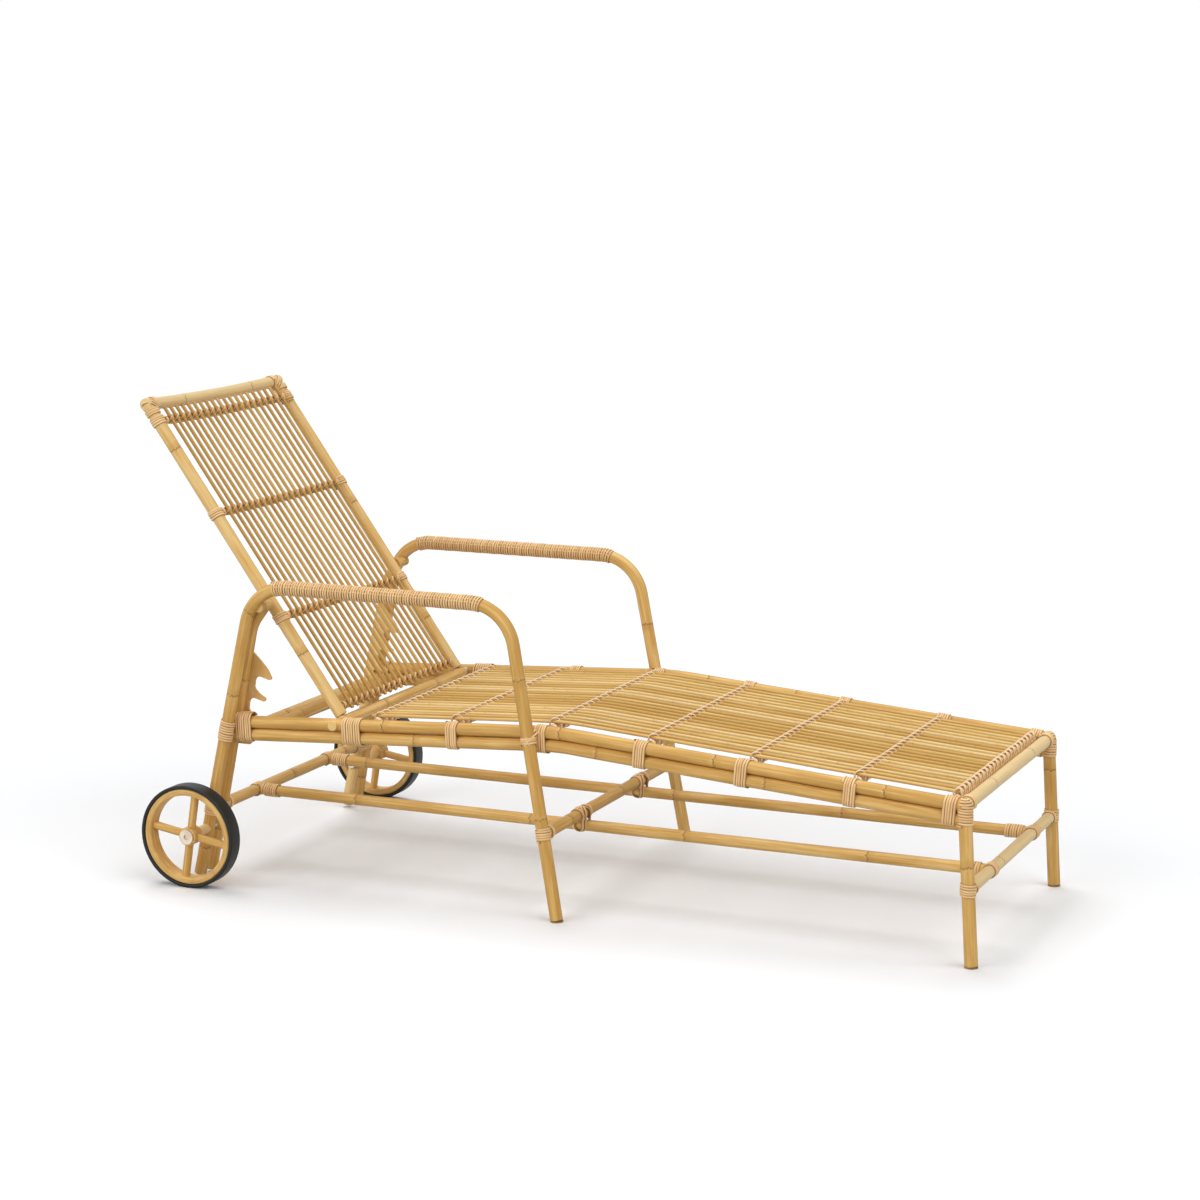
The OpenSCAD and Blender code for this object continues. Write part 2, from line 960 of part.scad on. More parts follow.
module foot_pads() {
  color(black)
    place()
      both_sides() {
        translate([0, -frame_half, 0])
          cylinder(h = glide_h, d = tube_d);
        translate([-mid_foot_back, -arm_y(0), 0])
          cylinder(h = glide_h, d = tube_d);
      }
}

// Hinge

// the line of the right hinge bolt
module hinge_line(d) {
  tube([hinge_x, -frame_half - tube_d, hinge_z], [hinge_x, -stile_half, hinge_z], d);
}

module hinge_bolts() {
  out = frame_half + tube_r + bolt_head_t;
  color(cane)
    place()
      both_sides() {
        difference() {
          tube([hinge_x, -frame_half, hinge_z], [hinge_x, -out, hinge_z], bolt_head_d);
          rail_path(0, tube_d + 2 * fit, strut_x_at_rail, hinge_x + tube_d, -frame_half);
        }
        tube([hinge_x, -out + over, hinge_z], [hinge_x, bolt_deep - stile_half - tube_r, hinge_z], hinge_d);
      }
}

module hinge_washers() {
  end_y = stile_half + tube_r + end_gap;
  color(steel)
    place()
      both_sides()
        difference() {
          tube([hinge_x, -frame_half, hinge_z], [hinge_x, -end_y, hinge_z], washer_d);
          rail_path(0, tube_d + 2 * fit, strut_x_at_rail, hinge_x + tube_d, -frame_half);
          hinge_line(hinge_d + 2 * fit);
        }
}

// Axles

module axle_line(d) {
  tube([axle_x, -cap_y, axle_z], [axle_x, -nut_y, axle_z], d);
}

module axles() {
  color(steel)
    place()
      both_sides()
        axle_line(axle_d);
}

module axle_spacers() {
  color(cane)
    place()
      both_sides()
        difference() {
          tube([axle_x, -spacer_y, axle_z], [axle_x, -arm_y(axle_z), axle_z], spacer_d);
          arm_path(tube_d + 2 * fit);
          axle_line(axle_d + 2 * fit);
        }
}

module axle_nuts() {
  color(steel)
    place()
      both_sides()
        difference() {
          tube([axle_x, -strut_half, axle_z], [axle_x, -nut_y - over, axle_z], nut_d);
          strut_path(tube_d + 2 * fit);
          axle_line(axle_d + 2 * fit);
        }
}

// Wheels

// puts a wheel piece drawn about Z, with its outer side up, on the right axle
module wheel_place() {
  translate([axle_x, -wheel_half, axle_z])
    rotate([90, 0, 0])
      children();
}

// a ring from radius r0 to r1, w wide, with its edges rounded
module ring(r0, r1, w, edge) {
  rotate_extrude()
    translate([r0, -w / 2]) {
      translate([edge, 0])
        square([r1 - r0 - 2 * edge, w]);
      translate([0, edge])
        square([r1 - r0, w - 2 * edge]);
      for (x = [edge, r1 - r0 - edge])
        for (y = [edge, w - edge])
          translate([x, y])
            circle(r = edge);
    }
}

module right_wheel_hub() {
  color(cane)
    place()
      wheel_place()
        ring(axle_d / 2 + run_fit, hub_d / 2, hub_w, hub_round);
}

module left_wheel_hub() {
  left_side()
    right_wheel_hub();
}

module right_wheel_rim() {
  color(cane)
    place()
      wheel_place()
        ring(rim_in, rim_r, rim_w, rim_round);
}

module left_wheel_rim() {
  left_side()
    right_wheel_rim();
}

module right_tyre() {
  color(black)
    place()
      wheel_place()
        ring(rim_r + fit, tyre_d / 2, wheel_w, tyre_round);
}

module left_tyre() {
  left_side()
    right_tyre();
}

module right_wheel_spokes() {
  color(cane)
    place()
      wheel_place()
        difference() {
          for (i = [0 : 3])
            rotate([0, 0, spoke_turn + 90 * i])
              translate([hub_d / 2 - spoke_sink, 0, 0])
                rotate([0, 90, 0])
                  cylinder(h = rim_in - hub_d / 2 + 2 * spoke_sink, d = spoke_d);
          cylinder(h = big, r = hub_d / 2 + fit, center = true);
          ring(rim_in - fit, rim_r, rim_w + 2 * fit, rim_round);
        }
}

module left_wheel_spokes() {
  left_side()
    right_wheel_spokes();
}

module right_wheel_cap() {
  color(steel)
    place()
      wheel_place()
        translate([0, 0, hub_w / 2 + end_gap + fit])
          difference() {
            union() {
              cylinder(h = cap_t - cap_edge, d = cap_d);
              cylinder(h = cap_t, d = cap_d - 2 * cap_edge);
            }
            translate([0, 0, cap_t - hex_deep])
              cylinder(h = cap_t, d = hex_d, $fn = 6);
          }
}

module left_wheel_cap() {
  left_side()
    right_wheel_cap();
}

// Backrest, drawn with X up its length, Y across and Z out of its front

module back_place() {
  color(cane)
    place()
      translate([hinge_x, 0, hinge_z])
        rotate([0, -back_angle, 180])
          mirror([0, 1, 0])
            children();
}

// a cross bar of the back at height u, standing n out and bowed back by bow at mid width
module bowed_bar(u, n, bow, half, d) {
  r = (pow(stile_half, 2) + pow(bow, 2)) / (2 * bow);
  a = asin(half / r);
  translate([u, 0, n - bow + r])
    rotate([0, 90, 0])
      rotate([0, 0, -a])
        bend(r, 2 * a, d);
}

module stile_line(d) {
  tube([0, -stile_half, 0], [back_len, -stile_half, 0], d);
}

module right_back_stile() {
  back_place()
    difference() {
      stile_line(tube_d);
      bottom_line(tube_d + 2 * fit);
      tube(top_corner - tube_d * top_end_dir, top_corner + tube_d * top_end_dir, tube_d + 3 * fit);
    }
}

module left_back_stile() {
  left_side()
    right_back_stile();
}

module back_top_rail() {
  back_place()
    bowed_bar(back_len, 0, top_bow, stile_half + tube_r, tube_d);
}

module bottom_line(d) {
  tube([0, -stile_half - tube_r, 0], [0, stile_half + tube_r, 0], d);
}

module back_bottom_rail() {
  deep = bolt_deep + over;
  back_place()
    difference() {
      bottom_line(tube_d);
      both_sides()
        tube([0, -stile_half - tube_r - over, 0], [0, deep - stile_half - tube_r, 0], hinge_d + 2 * run_fit);
    }
}

module back_rods() {
  back_place()
    for (u = back_rod_at)
      bowed_bar(u, rod_rise, rod_bow * u / back_len, stile_half - tube_r - fit, rod_d);
}

module back_slats() {
  back_place()
    for (i = [0 : back_slat_count - 1]) {
      y = (i - (back_slat_count - 1) / 2) * back_slat_pitch;
      tube(
        [back_slat_low, y, slat_rise - bow_at(back_slat_low, y)],
        [back_slat_high, y, slat_rise - bow_at(back_slat_high, y)],
        slat_d
      );
    }
}

module back_lashings() {
  half = back_slat_count / 2 * back_slat_pitch;
  color(binding)
    back_place()
      for (u = back_rod_at)
        difference() {
          bowed_bar(u, rod_rise, rod_bow * u / back_len, half, rod_d + 2 * wrap_t);
          bowed_bar(u, rod_rise, rod_bow * u / back_len, half + over, rod_d + 2 * fit);
        }
}

module back_wraps() {
  color(binding)
    back_place()
      both_sides()
        difference() {
          for (u = [back_rod_at[1], back_rod_at[2], back_rod_at[3]])
            band([u, -stile_half, 0], [1, 0, 0], back_wrap_turns, tube_d);
          for (u = back_rod_at)
            bowed_bar(u, rod_rise, rod_bow * u / back_len, stile_half, rod_d + 2 * fit);
        }
}
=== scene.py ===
"""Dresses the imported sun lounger: canes, peel windings, slats, notch plates and wheels, on a pale stage.

Everything is in metres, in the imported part's own frame. Lengths along X are measured from the front feet.
"""
import json
import math

import bmesh
import bpy
import numpy as np
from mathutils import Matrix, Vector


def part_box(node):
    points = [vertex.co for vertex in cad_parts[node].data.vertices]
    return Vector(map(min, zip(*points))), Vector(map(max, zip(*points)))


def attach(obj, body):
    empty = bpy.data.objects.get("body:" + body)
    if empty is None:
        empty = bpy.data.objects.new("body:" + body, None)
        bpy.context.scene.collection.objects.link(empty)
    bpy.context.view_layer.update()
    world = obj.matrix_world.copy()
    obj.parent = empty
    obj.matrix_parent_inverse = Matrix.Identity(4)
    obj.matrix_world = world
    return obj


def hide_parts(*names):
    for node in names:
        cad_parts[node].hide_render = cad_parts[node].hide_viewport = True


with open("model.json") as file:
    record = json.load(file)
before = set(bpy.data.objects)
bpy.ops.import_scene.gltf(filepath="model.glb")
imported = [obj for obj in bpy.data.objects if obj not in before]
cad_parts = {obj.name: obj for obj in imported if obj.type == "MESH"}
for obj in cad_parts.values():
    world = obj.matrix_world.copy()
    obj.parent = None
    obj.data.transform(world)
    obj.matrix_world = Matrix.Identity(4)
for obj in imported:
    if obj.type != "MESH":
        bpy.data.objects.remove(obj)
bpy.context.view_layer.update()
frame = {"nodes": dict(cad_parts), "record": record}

bl_info = {
    "name": "Cane sun lounger",
    "version": (1, 0, 0),
    "blender": (4, 5, 0),
    "location": "View3D > Sidebar > Lounger",
    "description": "Dresses the sun lounger's frame with canes, peel windings, slats and wheels",
    "category": "Object",
}

# Seat frame: radii of the bars, the rails with their bend at the hip, slats, rods and bindings

TUBE_R = 0.014
CROSS_R = 0.013
LONG_R = 0.0125
BAR_R = 0.0125
STUB_R = 0.012
ROD_R = 0.006
SLAT_R = 0.004
TOUCH = 0.0002  # gap or lap of bars that meet
RAIL_Y = 0.327
RAIL_STEP = 0.0283
RAIL_SPAN = (-1.9, 0.1)  # past both ends of the rails
RAIL_END_DROP = 0.045  # from the hip's height down to where the rails meet the rear legs
HIP_X = -0.920
HIP_Z = 0.402
HIP_BEND_R = 0.700
FOOT_SLOPE = math.radians(4.34)
REAR_SLOPE = math.radians(3.35)
CORNER_BACK = 0.021
LEG_TOP_DROP = 0.016  # from the corner's centre down to the end of the front leg's cane
ROD_RISE = 0.0005
SLAT_RISE = 0.0131
SEAT_PITCH = 0.0264
SEAT_SLATS = 22
SLAT_ENDS = (-1.385, -0.038)
ROD_X = (-0.049, -0.259, -0.486, -0.716, -0.943, -1.177, -1.365)
BIND_X = (-0.261, -0.493, -0.723, -0.950, -1.163)
HIP_BIND_X = -1.404
REAR_BIND_X = -1.671

# Arm frames

ARM_Y = 0.3556
ARM_LEAN = math.radians(1.8)
ARM_Z = 0.671
ARM_BEND_R = 0.105
REAR_FOOT_X = -1.782
REAR_LEAN = math.radians(11.9)
MID_FOOT_X = -0.899
MID_LEAN = math.radians(10.35)
REAR_LEG_GAP = 0.008
PAD_H = 0.003
WRAP_REACH = (math.radians(20), math.radians(16))  # how far the armrest's winding runs into the two bends

# Stretchers

STRETCHER_Z = 0.160
LONG_Y = 0.163
MID_Z = STRETCHER_Z + LONG_R + CROSS_R + TOUCH

# Backrest: U runs up its length from the hinge

STILE_Y = 0.284
BACK_LEN = 0.838
BACK_ANGLE = math.radians(54.3)
STILE_FOOT_U = 0.0145
BACK_SLATS = 20
BACK_PITCH = 0.026
BACK_ROD_U = (0.034, 0.271, 0.546, 0.792)
BACK_SLAT_U = (0.018, 0.820)
TOP_BOW = 0.0115
TOP_PAST_STILE = 0.012
ROD_BOW = 0.0085

# Rear struts and wheels

STRUT_Y = 0.3203
STRUT_TOP_Z = 0.560
STRUT_BEND_R = 0.090
STRUT_BEND = math.radians(25)
STRUT_TIP = 0.034

TYRE_R = 0.116
TYRE_T = 0.008
RIM_T = 0.015
WHEEL_W = 0.038
HUB_R = 0.021
AXLE_BORE_R = 0.0061
SPOKE_R = 0.009
SPOKE_LAP = 0.004
SPOKE_TURN = math.radians(-9)

# Split peel: a strip's thickness and width, and the windings made of it

PEEL_T = 0.0027
PEEL_W = 0.0058
PEEL_PITCH = 0.0064
PEEL_SHARE = 0.93  # share of the pitch that a turn covers
PEEL_SPARE = 0.001  # length of a winding's axis past its turns
LANE = 0.0031  # half the pitch of two loops side by side
JOIN_TURNS_AT = 0.024  # from a leg's centre line to the turns on the cross bar that it holds
ARM_PITCH = 0.0061
LASH_PITCH = 0.0060

# Node marks: by X on the rails and long stretchers, and by the length from the first end on other canes

RAIL_MARKS = {"upper": (-1.328, -0.905, -0.553, -0.182), "lower": (-1.252, -0.82, -0.441)}
LEFT_MARKS_STRAY = 0.09  # how far the left rails' marks may lie from the right rails'
LONG_MARKS = {"right": (-1.487, -1.052, -0.686, -0.273), "left": (-1.637, -0.844, -0.441)}
LEG_MARKS = {"right": (0.206,), "left": (0.262,)}
STILE_MARKS = {"right": (0.16, 0.70), "left": (0.14, 0.47, 0.76)}
CROSS_MARKS = {
    "rear_cross_rail": (0.17, 0.47), "front_stretcher": (0.22, 0.51),
    "middle_stretcher": (0.12, 0.40, 0.62), "rear_stretcher": (0.30, 0.55),
}
ARM_MARKS = (0.065, 0.425, 0.62, 1.05, 1.40, 1.70)
STRUT_MARKS = (0.10, 0.455)
STUB_MARKS = (0.033,)
FOOT_BAR_MARKS = (0.205, 0.498)
BACK_TOP_MARKS = (0.165, 0.46)
BACK_BOTTOM_MARKS = (0.19, 0.44)
SUPPORT_BAR_MARKS = (0.16, 0.43)
ROD_MARKS = (0.2,)

# Places taken from the frame

JOINTS = {j["name"]: j for j in frame["record"]["behaviour"]["joints"]}
HINGE = np.array(JOINTS["back_hinge"]["pos_m"])
AXLE = np.array(JOINTS["right_wheel_spin"]["pos_m"])
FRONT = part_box("foot_pads")[1][0] - TUBE_R

UP = np.array((0.0, 0.0, 1.0))
ACROSS = np.array((0.0, 1.0, 0.0))
AHEAD = np.array((1.0, 0.0, 0.0))
SIDES = (("right", -1.0), ("left", 1.0))

# First number of each random source; the left side takes the next one

SEEDS = {
    "foot bar": 5, "upper": 11, "arm": 21, "long": 31, "seat": 50, "lower": 51, "back": 60, "bar": 70,
    "seat lashings": 80, "back lashings": 90, "leg": 91, "bindings": 100, "spokes": 200,
}


def chance(piece, side="right"):
    """A random source for one piece, the same in each run."""
    return np.random.default_rng(SEEDS[piece] + (side == "left"))


def at(x, y, z):
    """A point from its distance ahead of the front feet, its Y and its height."""
    return np.array((FRONT + x, y, z))


# Lines of the frame


def unit(vectors):
    """The same directions at length 1."""
    return vectors / np.linalg.norm(vectors, axis=-1, keepdims=True)


def measured(points):
    """Length of a line up to each of its points."""
    return np.concatenate(([0.0], np.cumsum(np.linalg.norm(np.diff(points, axis=0), axis=1))))


def between(wanted, along, values):
    """Values at the wanted lengths along a line, straight between its points."""
    return np.stack([np.interp(wanted, along, column) for column in values.T], axis=1)


def resample(points, step):
    """The same line with points about one step apart."""
    points = np.asarray(points, dtype=float)
    gaps = np.linalg.norm(np.diff(points, axis=0), axis=1)
    points = points[np.concatenate(([True], gaps > 1e-7))]
    along = measured(points)
    count = max(2, int(round(along[-1] / step)) + 1)
    return between(np.linspace(0.0, along[-1], count), along, points)


def arc(centre, radius, start, end, count):
    """Points on an arc in the XZ plane, from angle start to end, measured from +X towards +Z."""
    angles = np.linspace(start, end, count)
    return centre + radius * np.stack((np.cos(angles), 0 * angles, np.sin(angles)), axis=1)


def rail_line(off, x0, x1, y):
    """The rails' line from x0 near the wheels to x1 at the foot end, raised by off.

    It is an arc about a centre below the hip, where the two slopes meet, with a straight on each side that
    carries on the arc's end direction.
    """
    middle = (FOOT_SLOPE - REAR_SLOPE) / 2
    reach = HIP_BEND_R / math.cos((FOOT_SLOPE + REAR_SLOPE) / 2)
    centre = np.array((HIP_X - reach * math.sin(middle), 0.0, HIP_Z - reach * math.cos(middle)))
    bend = arc(centre, HIP_BEND_R + off, math.pi / 2 + REAR_SLOPE, math.pi / 2 - FOOT_SLOPE, 13)
    first = bend[0] + (x0 - bend[0][0]) * np.array((1.0, 0.0, math.tan(REAR_SLOPE)))
    last = bend[-1] + (x1 - bend[-1][0]) * np.array((1.0, 0.0, -math.tan(FOOT_SLOPE)))
    return np.vstack((first, bend, last)) + np.array((FRONT, y, 0.0))


def rail_z(x, off=0.0):
    """Height of the upper rail's centre line at x, raised by off."""
    line = rail_line(off, *RAIL_SPAN, 0.0)
    return float(np.interp(x, line[:, 0] - FRONT, line[:, 2]))


CORNER_Z = rail_z(-CORNER_BACK)


def arm_y(z):
    """Distance of the leaning arm frame from the middle at height z."""
    return ARM_Y + (HIP_Z - z) * math.tan(ARM_LEAN)


def rear_x(z):
    """X of the rear legs at height z."""
    return REAR_FOOT_X + z / math.cos(ARM_LEAN) * math.tan(REAR_LEAN)


def mid_x(z):
    """X of the middle legs at height z."""
    return MID_FOOT_X - z / math.cos(ARM_LEAN) * math.tan(MID_LEAN)


def front_x(z):
    """X of the front legs at height z."""
    return -CORNER_BACK * z / CORNER_Z


RAIL_REAR_X = rear_x(HIP_Z - RAIL_END_DROP)


def on_leg(leg_x, sign, z):
    """A point of an arm frame's leg, whose X is given by leg_x."""
    return at(leg_x(z), sign * arm_y(z), z)


def leg_up(leg_x, sign):
    """Direction up an arm frame's leg."""
    return on_leg(leg_x, sign, 1.0) - on_leg(leg_x, sign, 0.0)


def leaned(points, side):
    """Moves points of the flat arm frame, whose heights count from the hip, to their leaning place."""
    points = np.asarray(points, dtype=float)
    y = -ARM_Y + points[:, 2] * math.sin(ARM_LEAN)
    z = HIP_Z + points[:, 2] * math.cos(ARM_LEAN)
    return np.stack((points[:, 0] + FRONT, -side * y, z), axis=1)


def arm_parts():
    """Centres of the two bends and the floor's height, in the flat arm frame."""
    top = (ARM_Z - HIP_Z) / math.cos(ARM_LEAN)
    low = -HIP_Z / math.cos(ARM_LEAN)
    rear = REAR_FOOT_X + (top - low) * math.tan(REAR_LEAN)
    mid = MID_FOOT_X - (top - low) * math.tan(MID_LEAN)
    rear += ARM_BEND_R * math.tan((math.pi / 2 - REAR_LEAN) / 2)
    mid -= ARM_BEND_R * math.tan((math.pi / 2 - MID_LEAN) / 2)
    centre_z = top - ARM_BEND_R
    return np.array((rear, 0.0, centre_z)), np.array((mid, 0.0, centre_z)), low


def arm_line(side):
    """The arm frame's centre line from the rear leg's end over the armrest to the middle foot."""
    rear, mid, low = arm_parts()
    start = np.array((REAR_FOOT_X, 0.0, low))
    end = np.array((MID_FOOT_X, 0.0, low))
    start = start + (REAR_LEG_GAP / math.cos(ARM_LEAN)) * np.array((math.tan(REAR_LEAN), 0.0, 1.0))
    end = end + (PAD_H / math.cos(ARM_LEAN)) * np.array((-math.tan(MID_LEAN), 0.0, 1.0))
    first = arc(rear, ARM_BEND_R, math.pi - REAR_LEAN, math.pi / 2, 22)
    second = arc(mid, ARM_BEND_R, math.pi / 2, MID_LEAN, 22)
    return leaned(np.vstack((start, first, second, end)), side)


def arm_wrap_line(side):
    """The stretch of the armrest that the winding covers."""
    rear, mid, _ = arm_parts()
    first = arc(rear, ARM_BEND_R, math.pi / 2 + WRAP_REACH[0], math.pi / 2, 8)
    second = arc(mid, ARM_BEND_R, math.pi / 2, math.pi / 2 - WRAP_REACH[1], 8)
    return leaned(np.vstack((first, second)), side)


def strut_line(side):
    """The strut's centre line: straight up beside the rear leg, an arc forward and a short straight tip."""
    tip = REAR_LEAN + STRUT_BEND
    low = np.array((rear_x(REAR_LEG_GAP), 0.0, REAR_LEG_GAP))
    start = np.array((rear_x(STRUT_TOP_Z), 0.0, STRUT_TOP_Z))
    centre = start + STRUT_BEND_R * np.array((math.cos(REAR_LEAN), 0.0, -math.sin(REAR_LEAN)))
    bend = arc(centre, STRUT_BEND_R, math.pi - REAR_LEAN, math.pi - tip, 9)
    end = bend[-1] + STRUT_TIP * np.array((math.sin(tip), 0.0, math.cos(tip)))
    return np.vstack((low, bend, end)) + np.array((FRONT, side * STRUT_Y, 0.0))


BACK_UP = np.array((-math.cos(BACK_ANGLE), 0.0, math.sin(BACK_ANGLE)))
BACK_OUT = np.array((math.sin(BACK_ANGLE), 0.0, math.cos(BACK_ANGLE)))


def back_point(u, y, n=0.0):
    """A point of the backrest: u up its length from the hinge, y across, n out of its front."""
    return HINGE * np.array((1.0, 0.0, 1.0)) + u * BACK_UP + y * ACROSS + n * BACK_OUT


def rod_bow(u):
    """How far the back's rod at u bows backwards at mid width: more so towards the top."""
    return ROD_BOW * u / BACK_LEN


def bowed(u, y, n, bow):
    """A point of the back, set backwards by a parabola across: bow at mid width, 0 at the stiles."""
    return back_point(u, y, n - bow * (1 - (y / STILE_Y) ** 2))


def bowed_line(u, n, bow, half):
    """A bowed cross bar of the back, from -half to half across."""
    return np.array([bowed(u, y, n, bow) for y in np.linspace(-half, half, 33)])


def box_line(node, axis):
    """The middle line of a node's box, along X (axis 0) or Y (axis 1)."""
    low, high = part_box(node)
    ends = np.tile((low + high) / 2, (2, 1))
    ends[:, axis] = low[axis], high[axis]
    return ends


def spaced(count, pitch):
    """Places with one pitch between them, about the middle."""
    return (np.arange(count) - (count - 1) / 2) * pitch


# Mesh making


def new_mesh(name, verts, faces, uvs=None, smooth=True):
    """A mesh object at the origin. uvs maps a layer's name to one pair for each face corner."""
    mesh = bpy.data.meshes.new(name)
    mesh.from_pydata(np.asarray(verts).tolist(), [], np.asarray(faces).tolist())
    for layer, pairs in (uvs or {}).items():
        uv = mesh.uv_layers.new(name=layer)
        uv.data.foreach_set("uv", np.asarray(pairs, dtype=np.float32).ravel())
    mesh.polygons.foreach_set("use_smooth", [smooth] * len(mesh.polygons))
    mesh.update()
    obj = bpy.data.objects.new(name, mesh)
    bpy.context.scene.collection.objects.link(obj)
    return obj


def dress(obj, material, body, nodes):
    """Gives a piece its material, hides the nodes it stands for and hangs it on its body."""
    obj.data.materials.append(make_materials()[material])
    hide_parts(*nodes)
    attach(obj, body)


class Shapes:
    """Collects tubes and strips with their UVs, to make one object of them.

    The layer "along" holds the share of a turn and the length along the piece. The layer "mark" holds the
    distance to the nearest node mark and the piece's own random number.
    """

    def __init__(self):
        self.verts = []
        self.faces = []
        self.along = []
        self.mark = []
        self.count = 0

    def grid(self, points, u, v, mark, tag):
        """Adds a grid of points, rows by columns, as quads; the last column joins the first."""
        rows, cols = points.shape[:2]
        self.verts.append(points.reshape(-1, 3))
        r, c = (index.ravel() for index in np.indices((rows - 1, cols)))
        d = (c + 1) % cols
        quads = np.stack((r * cols + c, r * cols + d, (r + 1) * cols + d, (r + 1) * cols + c), axis=1)
        self.faces.append(quads + self.count)
        pairs = np.stack((u[c], v[r], u[c + 1], v[r], u[c + 1], v[r + 1], u[c], v[r + 1]), axis=1)
        self.along.append(pairs.reshape(-1, 2))
        t = np.full(len(r), tag)
        marks = np.stack((mark[r], t, mark[r], t, mark[r + 1], t, mark[r + 1], t), axis=1)
        self.mark.append(marks.reshape(-1, 2))
        self.count += rows * cols

    def build(self, name, nodes, material="peel", body="frame"):
        """Makes the object and dresses it."""
        uvs = {"along": np.vstack(self.along), "mark": np.vstack(self.mark)}
        obj = new_mesh(name, np.vstack(self.verts), np.vstack(self.faces), uvs)
        dress(obj, material, body, nodes)


def frames(points, ref):
    """Tangent and two cross directions at each point of a line; ref is never along the line."""
    tangent = unit(np.gradient(points, axis=0))
    side = unit(np.cross(tangent, ref))
    return tangent, side, np.cross(side, tangent)


# Canes: shares are of the radius

CANE_FULL = 0.99
CANE_WAVES = ((0.006, 23.0), (0.004, 57.0))  # share and radians per metre
CANE_MOST = 1.004
NODE_LIP = (0.012, 0.0022, 0.0016)  # share, distance from the mark, width
NODE_GROOVE = (0.016, 0.0007)  # share, width
NODE_POINTS = np.array((-0.004, -0.002, -0.0008, 0.0, 0.0008, 0.002, 0.004))
NO_MARK = 0.2  # distance at which a mark no longer shows
EDGE = 0.0022
ROUND_EDGE = 0.01  # past this size an edge is drawn with more rows
CAP_R = 0.0001


def mark_distance(along, marks):
    """Signed distance to the nearest node mark, for the cane's rings."""
    if not len(marks):
        return np.full(len(along), NO_MARK)
    gaps = along[:, None] - np.asarray(marks)[None, :]
    nearest = np.abs(gaps).argmin(axis=1)
    return np.clip(gaps[np.arange(len(along)), nearest], -NO_MARK, NO_MARK)


def close_end(rows, edge, first):
    """Rounds off and closes the last row of a cane, or its first row.

    rows holds points, radii, tangents, two cross directions, lengths and mark distances. From one edge short
    of the end, the rows advance by the sine of a growing angle, times the edge, and shrink by one minus its
    cosine, times the edge.
    """
    if first:
        rows = [row[::-1] for row in rows]
    points, radii, tangent = rows[:3]
    outward = -tangent[-1] if first else tangent[-1]
    angles = np.linspace(0.2, 1.0, 5 if edge < ROUND_EDGE else 12) * math.pi / 2
    advance = np.concatenate(([0.0], edge * np.sin(angles), [edge]))
    shrink = np.concatenate(([0.0], edge * (1 - np.cos(angles))))
    end_points = points[-1] - edge * outward + advance[:, None] * outward
    end_radii = np.append(radii[-1] - shrink, CAP_R)
    ends = [end_points, end_radii, *(np.repeat(row[-1:], len(advance), axis=0) for row in rows[2:])]
    rows = [np.concatenate((row[:-1], end)) for row, end in zip(rows, ends)]
    return [row[::-1] for row in rows] if first else rows


def cane(shapes, line, radius, rng, marks=(), ref=ACROSS, sides=24, step=0.006, ends=(True, True), edge=EDGE):
    """A round cane along a line.

    Its radius swells slowly by two sine waves. At each node mark it has a raised lip on both sides of a
    groove, each a bell curve of the distance to the mark.
    """
    points = resample(line, step)
    along = measured(points)
    for mark in marks:
        extra = mark + NODE_POINTS
        wanted = np.unique(np.concatenate((along, extra[(extra > 0) & (extra < along[-1])])))
        points, along = between(wanted, along, points), wanted
    dist = mark_distance(along, marks)
    lip, lip_at, lip_width = NODE_LIP
    groove, groove_width = NODE_GROOVE
    ring = lip * np.exp(-((np.abs(dist) - lip_at) / lip_width) ** 2)
    ring = ring - groove * np.exp(-(dist / groove_width) ** 2)
    wave = sum(share * np.sin(along * rate + rng.uniform(0, 6.3)) for share, rate in CANE_WAVES)
    radii = np.minimum(radius * (CANE_FULL + wave + ring), radius * CANE_MOST)
    rows = [points, radii, *frames(points, ref), along, dist]
    for first, wanted in zip((True, False), ends):
        if wanted:
            rows = close_end(rows, edge, first)
    points, radii, _, side, up, along, dist = rows
    turn = np.linspace(0, 2 * math.pi, sides + 1)
    around = turn[:-1][None, :, None]
    out = np.cos(around) * side[:, None, :] - np.sin(around) * up[:, None, :]
    grid = points[:, None, :] + radii[:, None, None] * out
    shapes.grid(grid, turn / (2 * math.pi), along + rng.uniform(0, 40.0), dist, rng.uniform(0, 1))


def one_cane(name, node, line, radius, rng, marks, material="cane", body="frame", **shape):
    """A piece of a single cane that stands for one node."""
    shapes = Shapes()
    cane(shapes, line, radius, rng, marks, **shape)
    shapes.build(name, [node], material, body)


# Peel windings

# Cross section of a split peel: share of its width, and share of its thickness above the surface
PEEL_SECTION = np.array((
    (-0.5, 0.0), (-0.47, 0.36), (-0.36, 0.70), (-0.18, 0.93), (0.0, 1.0),
    (0.18, 0.93), (0.36, 0.70), (0.47, 0.36), (0.5, 0.0),
))
TURN_SHIFT = (0.0003, 2.1)  # reach of the wave along the bar, and its radians per turn
TURN_LIFT = (0.00025, 5.3)  # reach of the wave off the bar, and its radians per turn
LOOP_LIFT = 0.0004
LOOP_SWAY = 0.0006
DOME_TURNS = np.radians((16.0, 40.0, 64.0, 86.0))  # how high over the corner each turn lies


def hull_outline(*circles):
    """Outline drawn tight round circles given as (first place, second place, radius).

    It maps a turn from 0 to 1 to the point and the outward direction there: of all the circles, the one that
    reaches furthest in that direction carries the outline.
    """
    centres = np.array([c[:2] for c in circles])
    radii = np.array([c[2] for c in circles])

    def outline(turn):
        """The points at these turns, and the outward directions there."""
        angle = 2 * math.pi * np.asarray(turn)
        out = np.stack((np.cos(angle), np.sin(angle)), axis=-1)
        furthest = (out @ centres.T + radii).argmax(axis=-1)
        return centres[furthest] + radii[furthest][..., None] * out, out
    return outline


